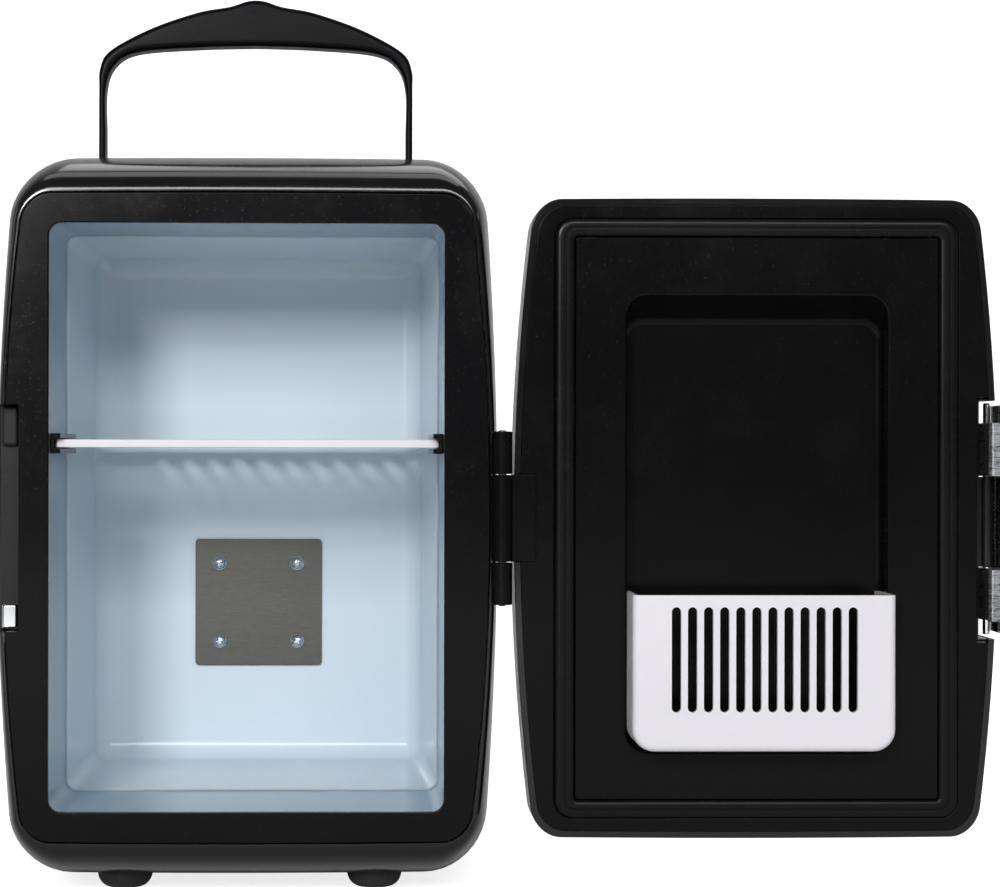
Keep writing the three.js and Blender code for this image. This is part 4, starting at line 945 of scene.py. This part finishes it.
# %% [markdown]
# The basket is a white moulding, open at the top and at the back, where the recess closes it. Its lower
# corners and front edges are round, and twelve round-ended slots pierce the front.
# %% Basket
BASKET_HALF, BASKET_LOW, BASKET_HIGH = 47.2, 57, 113
BASKET_FRONT, BASKET_BACK, BASKET_WALL, BASKET_R = -20, 10, 2, 8


def basket_outline(grow, top):
    """Straight at the top, with two round lower corners, anticlockwise."""
    half, low, r = BASKET_HALF + grow, BASKET_LOW - grow, BASKET_R + grow
    t = np.linspace(0, np.pi / 2, 10)
    left = np.stack([DOOR_X - half + r - r * np.cos(t), low + r - r * np.sin(t)], 1)
    right = np.stack([DOOR_X + half - r + r * np.sin(t), low + r - r * np.cos(t)], 1)
    return np.concatenate([[[DOOR_X - half, top]], left, right, [[DOOR_X + half, top]]])


def basket():
    """A block whose front edge is a quarter circle; the hollow and the slots are cut from it."""
    edge = 2.6
    t = np.linspace(0, np.pi / 2, 8)
    rings = [placed(basket_outline(-edge * (1 - np.sin(a)), BASKET_HIGH),
                    BASKET_FRONT + edge * (1 - np.cos(a)), "y") for a in t]
    return skin([*rings, placed(basket_outline(0, BASKET_HIGH), BASKET_BACK, "y")])


def basket_hollow():
    """The inside of the basket, with soft inner edges, up through the open top."""
    rings = [(-2, BASKET_FRONT + BASKET_WALL), (-0.6, BASKET_FRONT + BASKET_WALL + 0.6),
             (0, BASKET_FRONT + BASKET_WALL + 2),
             (0, BASKET_BACK + 2)]
    return skin([placed(basket_outline(-BASKET_WALL + grow, BASKET_HIGH + 5), y, "y") for grow, y in rings])


basket_slots = [skin([placed(stadium(DOOR_X + 5.75 * (i - 5.5), 71.2, 108.8, 1.68), y, "y") for y in (-23,
                                                                                                      -15)])
                for i in range(12)]
piece("basket", basket(), white_plastic, "basket", ["door_basket"], "white_plastic",
      [basket_hollow(), *basket_slots],
      bevel=0.35)

# %% [markdown]
# The latch is a plated casting: a smooth flap on the edge of the door and two hooks whose faces keep the
# rough skin of the casting. Each hook is its side profile carried along the pin's line.
# %% Latch
def latch_hooks():
    """A hook's profile in x and y: root round the pin, stem, and a barb that catches behind the rim."""
    x, y = LATCH_X, LATCH_Y
    out = x + 4.3
    root = [(out, y + 3.5), (x - 2.6, y + 3.5), (x - 3.2, y + 2.5), (x - 3.2, y - 4)]
    barb = [(x - 2.1, y - 6), (x - 2.1, -6.3), (x - 3.6, -6.5), (x - 3.6, -7.6), (x - 2.4, -8.9),
            (x + 1.4, -8.9), (x + 3, -5), (out, 0)]
    loop = fillet([*root, *barb], 0.45, 3)
    return joined(*[bar(loop, span, "z", 0.35) for span in HOOKS])


def latch_flap():
    """The flap with soft edges; its tail is the part a thumb lifts."""
    loop = fillet(rectangle((LATCH_X + 2.9, -1), (LATCH_X + 4.3, LATCH_Y + 12)), 0.6, 5)
    return bar(loop, (LATCH_LOW, LATCH_HIGH), "z", 0.4)


flap = piece("latch_flap", latch_flap(), chrome, "latch", ["latch_lever"], "chrome")
piece("latch_hooks", latch_hooks(), cast_chrome, "latch", [], "chrome")
pin_profile = [(0.05, 97.1), (1.0, 97.1), (1.3, 97.4), (1.3, 182), (1.0, 182.3), (0.05, 182.3)]
piece("latch_rod", turned(pin_profile, (LATCH_X, LATCH_Y), "z"), chrome, "door", ["latch_pin"], "chrome")
barrel_profile = [(1.6, 122), (2.2, 122), (2.5, 122.3), (2.5, 154.9), (2.2, 155.2), (1.6, 155.2)]
latch_barrel = skin([placed(circle(r, (LATCH_X, LATCH_Y)), z, "z") for r, z in barrel_profile], False)
latch_web = bar(rectangle((DOOR_X + 81.9, LATCH_Y - 1.2), (LATCH_X - 1.9, LATCH_Y + 1.2)), (122, 155.2),
                "z", 0.1)
piece("latch_pocket", joined(latch_barrel, latch_web, latch_tray()), gloss_black, "door", [], "gloss_black")

# %% [markdown]
# The keeper is a black plate at the back of a recess in the cabinet's left edge, with a block at each end for
# a hook to close over. The lower block is chrome; the upper one, chrome as well on the real keeper, is made
# in the plate's black as a painted dark reflection.
# %% Latch keeper
def keeper_plate():
    """A plate with soft edges."""
    return bar(rectangle((-90.3, 10), (-81.2, 11.7)), (KEEPER_LOW + 0.4, KEEPER_HIGH - 0.4), "z", 0.3)


def keeper_block(low, high):
    """A round-edged block at one end of the plate, which a hook closes over."""
    loop = fillet(rectangle((-89.6, 7.2), (-83.6, 11)), 1.4, 6)
    return bar(loop, (low, high), "z", 1.1, 6)


# The upper block is given the plate's matte black as a painted dark reflection; like the lower block it is
# chrome.
painted_reflection_block = keeper_block(166, KEEPER_HIGH - 0.4)
piece("latch_keeper_plate", joined(keeper_plate(), painted_reflection_block), matte_black, "cabinet", [], "matte_black")
piece("latch_keeper_block", keeper_block(KEEPER_LOW + 0.4, 108.2), chrome, "cabinet", ["latch_keeper"],
      "chrome")
recess = skin([placed(rectangle((x, KEEPER_LOW), (-79.4, KEEPER_HIGH)), y, "y") for x,
               y in ((KEEPER_DEEP, 3.4), (KEEPER_DEEP, 12.2))])
recess_back = bar(rectangle((-91, 12.05), (-80, 13)), (KEEPER_LOW - 0.5, KEEPER_HIGH + 0.5), "z", 0.1)
piece("keeper_recess", joined(recess, recess_back), matte_black, "cabinet", [], "matte_black")

# %% [markdown]
# The back cover is a flat panel in the shell's rear seat. Slots let the fan draw air in above and blow it out
# in the middle, and below sit the two inlets, the switch and its two lamps.
# %% Rear panel
PANEL_FACE, INLET_Z, MOUTH_Y = PANEL_BACK + GAP, 38, PANEL_BACK + GAP + 1.5
PANEL_SCREWS = [(x, z) for x in (-70.5, 70.5) for z in (36, 244)]
rear_seat = grown(body_section(BODY_DEPTH - REAR_ROUND), -REAR_ROUND - PANEL_INSET - 0.4)


def upright_slot(x, low, high, half=1.8):
    """A round-ended slot right through the panel."""
    return skin([placed(stadium(x, low, high, half), y, "y") for y in (PANEL_FRONT - 2, PANEL_FACE + 2)])


def panel_hole(loop):
    """A hole of any outline right through the panel."""
    return skin([placed(loop, y, "y") for y in (PANEL_FRONT - 2, PANEL_FACE + 2)])


vents = []
for x in 7 * (np.arange(11) - 5):
    reach = np.sqrt(38**2 - x**2) - 1.5
    vents += [upright_slot(x, COOLER_Z + 1.5, COOLER_Z + 1.5 + reach),
              upright_slot(x, COOLER_Z - 1.5 - reach, COOLER_Z - 1.5)]
    vents.append(upright_slot(x, 176, 204))
inlet_holes = [panel_hole(fillet(rectangle((x - a, INLET_Z - b), (x + a, INLET_Z + b)), 1.5))
               for x, a, b in ((-46, 11.3, 7.8), (0, 10.8, 7.3))]
inlet_holes += [panel_hole(circle(7.8, (46, INLET_Z))),
                *[panel_hole(circle(1.8, (x, INLET_Z), 16)) for x in (20, 28)]]
inlet_holes += [panel_hole(circle(1.8, place, 16)) for place in PANEL_SCREWS]
panel_profile = [(PANEL_FRONT, 0), (PANEL_BACK - 0.3, 0), (PANEL_BACK, -0.3)]
rear_cover = skin([ring(y, outline(grown(rear_seat, inset))) for y, inset in panel_profile])
piece("rear_cover", rear_cover, matte_black, "cabinet", ["rear_panel"], "matte_black", vents + inlet_holes,
      bevel=0.25)
screws("cover_screw", PANEL_SCREWS, PANEL_BACK, 1, 3.4, 3.0, 12, "rear_panel_screw", steel, "steel")

# %% [markdown]
# The inlets and the switch are small mouldings with a flange that hides the edge of their hole. Each is a
# round-cornered block with soft edges, and its socket or well is cut out of it.
# %% Inlets and switch
def flanged(x, a, b, corner):
    """A housing through the panel and a wider flange outside it."""
    body = bar(fillet(rectangle((x - a, INLET_Z - b), (x + a, INLET_Z + b)), corner, 5),
               (186, PANEL_FACE + 0.2), "y", 0.2)
    wide = rectangle((x - a - 2, INLET_Z - b - 2), (x + a + 2, INLET_Z + b + 2))
    return joined(body, bar(fillet(wide, corner + 1, 6), (PANEL_FACE, MOUTH_Y), "y", 0.5))


SOCKET_Y = MOUTH_Y - 12
mains_socket = skin([placed(fillet(rectangle((-54, INLET_Z - 4.4), (-38, INLET_Z + 4.4)), 4.2, 8), y, "y")
                     for y in (SOCKET_Y, MOUTH_Y + 2)])
piece("mains_inlet", flanged(-46, 11, 7.5, 1.5), matte_black, "cabinet", ["ac_inlet"], "matte_black",
      [mains_socket], bevel=0.2)
for i, x in enumerate((-50.2, -41.8)):
    pin = turned([(1.2, 184), (1.2, SOCKET_Y + 5.6), (0.9, SOCKET_Y + 6.3), (0.05, SOCKET_Y + 6.5)],
                 (x, INLET_Z), "y", 24)
    piece(f"mains_pin_{i + 1}", pin, steel, "cabinet", [f"ac_inlet_pin_{i + 1}"], "steel")
low_profile = [(1.0, 186), (7.5, 186), (7.5, PANEL_FACE), (9.1, PANEL_FACE), (9.5, PANEL_FACE + 0.4),
               (9.5, MOUTH_Y - 0.4),
               (9.1, MOUTH_Y), (5.3, MOUTH_Y), (5, MOUTH_Y - 0.4), (5, SOCKET_Y), (1.0, SOCKET_Y),
               (1.0, SOCKET_Y + 5.6), (0.5, SOCKET_Y + 6)]
piece("low_voltage_inlet", turned(low_profile, (46, INLET_Z), "y", 40), matte_black, "cabinet",
      ["dc_inlet"], "matte_black")
well = block((-8.5, 188.5, INLET_Z - 4.7), (8.5, MOUTH_Y + 2, INLET_Z + 4.7))
piece("switch_housing", flanged(0, 10.5, 7, 1.5), matte_black, "cabinet", ["mode_switch_body"],
      "matte_black", [well], bevel=0.2)


def rocker():
    """A bar with a hollowed top, as a profile in x and y carried upwards."""
    y = PANEL_FACE - 2.4
    hollow = [(7.1, y + 4.4), (3.6, y + 2.9), (0, y + 2.4), (-3.6, y + 2.9), (-7.1, y + 4.4)]
    loop = [(-6.5, y - 3), (-3, y - 6), (3, y - 6), (6.5, y - 3), *hollow]
    return bar(fillet(loop, 0.5, 3), (INLET_Z - 4.3, INLET_Z + 4.3), "z", 0.4)


piece("switch_rocker", rocker(), satin_black, "rocker", ["mode_rocker"], "satin_black")
for x, word, material in ((20, "red", red_lens), (28, "green", green_lens)):
    dome = [(2.4 * np.cos(t), PANEL_FACE + 2.4 * np.sin(t)) for t in np.linspace(0, 1.5, 8)]
    lens = turned([(1.5, 197), (1.5, PANEL_FACE), *dome], (x, INLET_Z), "y", 24)
    piece(f"{word}_lamp", lens, material, "cabinet", [f"indicator_lens_{word}"], f"{word}_lens")

# %% [markdown]
# The fan shows through the vents. Its blades are twisted and curved sheets: along a blade the pitch falls,
# and across it the sheet follows a shallow arc.
# %% Fan
FAN_FRONT, FAN_BACK = 181, 196


def blade(turn):
    """A closed blade: its chord is rotated about the radius by a pitch that falls from hub to tip."""
    radius = np.linspace(12.5, 36.3, 9)
    across = np.concatenate([np.linspace(-1, 1, 9), np.linspace(1, -1, 9)])
    side = np.concatenate([np.full(9, 0.5), np.full(9, -0.5)])
    rings = []
    for r in radius:
        share = (r - 12.5) / 23.8
        pitch, half = np.radians(52 - 24 * share), 6 + 3.4 * share
        camber = 1.3 * (1 - across**2)
        swing = (across * half * np.cos(pitch) - (camber + side) * np.sin(pitch)) / r + turn + 0.25 * share
        depth = (
            (FAN_FRONT + FAN_BACK) / 2 - 1
            + across * half * np.sin(pitch) * 0.7
            + (camber + side) * np.cos(pitch)
        )
        rings.append(np.stack([r * np.cos(swing), depth, COOLER_Z + r * np.sin(swing)], 1))
    return skin(rings)


hub = turned([(0.05, 182), (13.4, 182), (14, 182.6), (14, 192.4), (13.4, 193), (0.05, 193)], (0, COOLER_Z),
             "y", 40)
blades = [blade(2 * np.pi * i / 7) for i in range(7)]
piece("fan_wheel", joined(hub, *blades), matte_black, "fan", ["fan_rotor"], "matte_black", sharp=50)

# %% [markdown]
# The pieces deep inside keep the frame's own meshes and get the finish of their real counterparts. They show
# only through the vents, so their edges are left as they are.
# %% Inner pieces
inner = {
    "insulation_foam": foam, "door_foam": foam, "cold_block": brushed_aluminium, "peltier_module": ceramic,
    "heat_sink": brushed_aluminium, "fan_frame": matte_black, "control_board": board_green,
         "transformer": steel,
    **{f"fan_screw_{i}": steel for i in (1, 2, 3, 4)},
}
for name, material in inner.items():
    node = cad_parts[name]
    node.data.materials.clear()
    node.data.materials.append(material)
print("gave", len(inner), "inner pieces a finish")

# %% [markdown]
# The stage is a pale sweep: a floor that rises behind the object in one soft curve, so that no line shows
# between floor and wall.
# %% Stage
def sweep():
    """A floor, a quarter circle and a wall, as rows of points across."""
    t = np.linspace(0, np.pi / 2, 25)
    bend_y, bend_r = 1.1, 0.9
    path = [(-4.0, 0.0), (-1.0, 0.0), *zip(bend_y + bend_r * np.sin(t), bend_r * (1 - np.cos(t))),
            (bend_y + bend_r, 4.0)]
    across = np.linspace(-4, 4, 9)
    points = np.array([[(x, y, z) for x in across] for y, z in path])
    rows, columns = points.shape[:2]
    index = np.arange(rows * columns).reshape(rows, columns)
    faces = np.stack([index[:-1, :-1], index[:-1, 1:], index[1:, 1:], index[1:, :-1]], -1).reshape(-1, 4)
    mesh = bpy.data.meshes.new("backdrop")
    mesh.from_pydata(points.reshape(-1, 3).tolist(), [], faces.tolist())
    mesh.shade_smooth()
    return bpy.data.objects.new("backdrop", mesh)


def paper():
    """White paper with a very faint drift of tone. Only to the eye it glows, so that it stays white without
    lighting the object."""
    recipe = Recipe("backdrop_paper", Emission_Strength=0.8)
    tone = recipe.blend(recipe.noise(1.5), (0.9, 0.9, 0.9, 1), (0.93, 0.93, 0.93, 1))
    seen = recipe.node("ShaderNodeLightPath", {}, {}, "Is Camera Ray")
    glow = recipe.blend(seen, (0, 0, 0, 1), (1, 1, 1, 1))
    return recipe.finish(Base_Color=tone, Roughness=recipe.noise(60.0) * 0.1 + 0.8, Emission_Color=glow)


backdrop = sweep()
bpy.context.scene.collection.objects.link(backdrop)
backdrop.data.materials.append(paper())

# %% [markdown]
# A small box on the left in front draws the stripes of the shelf on the back wall. A wide one, higher and
# in the middle, lights the compartment evenly and leaves its upper part in the shadow of the ceiling. Boxes
# above, behind and at the sides give the thin highlights on the shell's edges, and a dim world fills the
# rest, so that black plastic stays black.
# %% Light
def softbox(name, place, aim, width, height, power):
    """A rectangular light at a place, turned towards a point."""
    light = bpy.data.lights.new(name, "AREA")
    light.shape, light.size, light.size_y, light.energy = "RECTANGLE", width, height, power
    thing = bpy.data.objects.new(name, light)
    thing.location = place
    thing.rotation_euler = (Vector(aim) - Vector(place)).to_track_quat("-Z", "Y").to_euler()
    bpy.context.scene.collection.objects.link(thing)


softbox("key", (-0.68, -2.3, 0.78), (-0.08, 0, 0.14), 0.35, 0.3, 22)
softbox("front", (0.0, -2.3, 1.1), (-0.05, 0, 0.14), 1.9, 0.4, 27)
softbox("overhead", (0.0, 0.35, 1.5), (0, 0.1, 0), 1.4, 0.5, 3)
softbox("left_side", (-1.6, 0.3, 0.5), (0, 0.1, 0.15), 0.5, 0.8, 1.6)
softbox("right_side", (1.6, 0.3, 0.5), (0, 0.1, 0.15), 0.5, 0.8, 1.6)
softbox("behind", (0.2, 0.95, 1.3), (0, 0.1, 0.1), 1.2, 0.6, 3)

world = bpy.data.worlds.new("studio")
world.use_nodes = True
world.node_tree.nodes["Background"].inputs["Color"].default_value = (1, 1, 1, 1)
world.node_tree.nodes["Background"].inputs["Strength"].default_value = 0.1
bpy.context.scene.world = world
bpy.context.scene.view_settings.view_transform = "Standard"

# %% [markdown]
# The camera stands in front of the right part of the cabinet, a little above its middle, with a fairly long
# lens. It looks almost straight ahead, so that upright edges stay parallel, and the lens is shifted to bring
# both the cabinet and the open door into view.
# %% Camera
EYE_TURN, EYE_ROLL = 1.2, 0.1
camera = bpy.data.cameras.new("camera")
camera.lens, camera.sensor_width = 94.15, 36
camera.shift_x, camera.shift_y = 0.0985, 0.0075
eye = bpy.data.objects.new("camera", camera)
eye.location = metres((36.3, -950, 164.3))
eye.rotation_mode = "QUATERNION"
eye.rotation_quaternion = (
    Euler(np.radians((90, 0, -EYE_TURN))).to_quaternion() @ Quaternion((0, 0, 1), np.radians(EYE_ROLL))
)
bpy.context.scene.collection.objects.link(eye)
bpy.context.scene.camera = eye
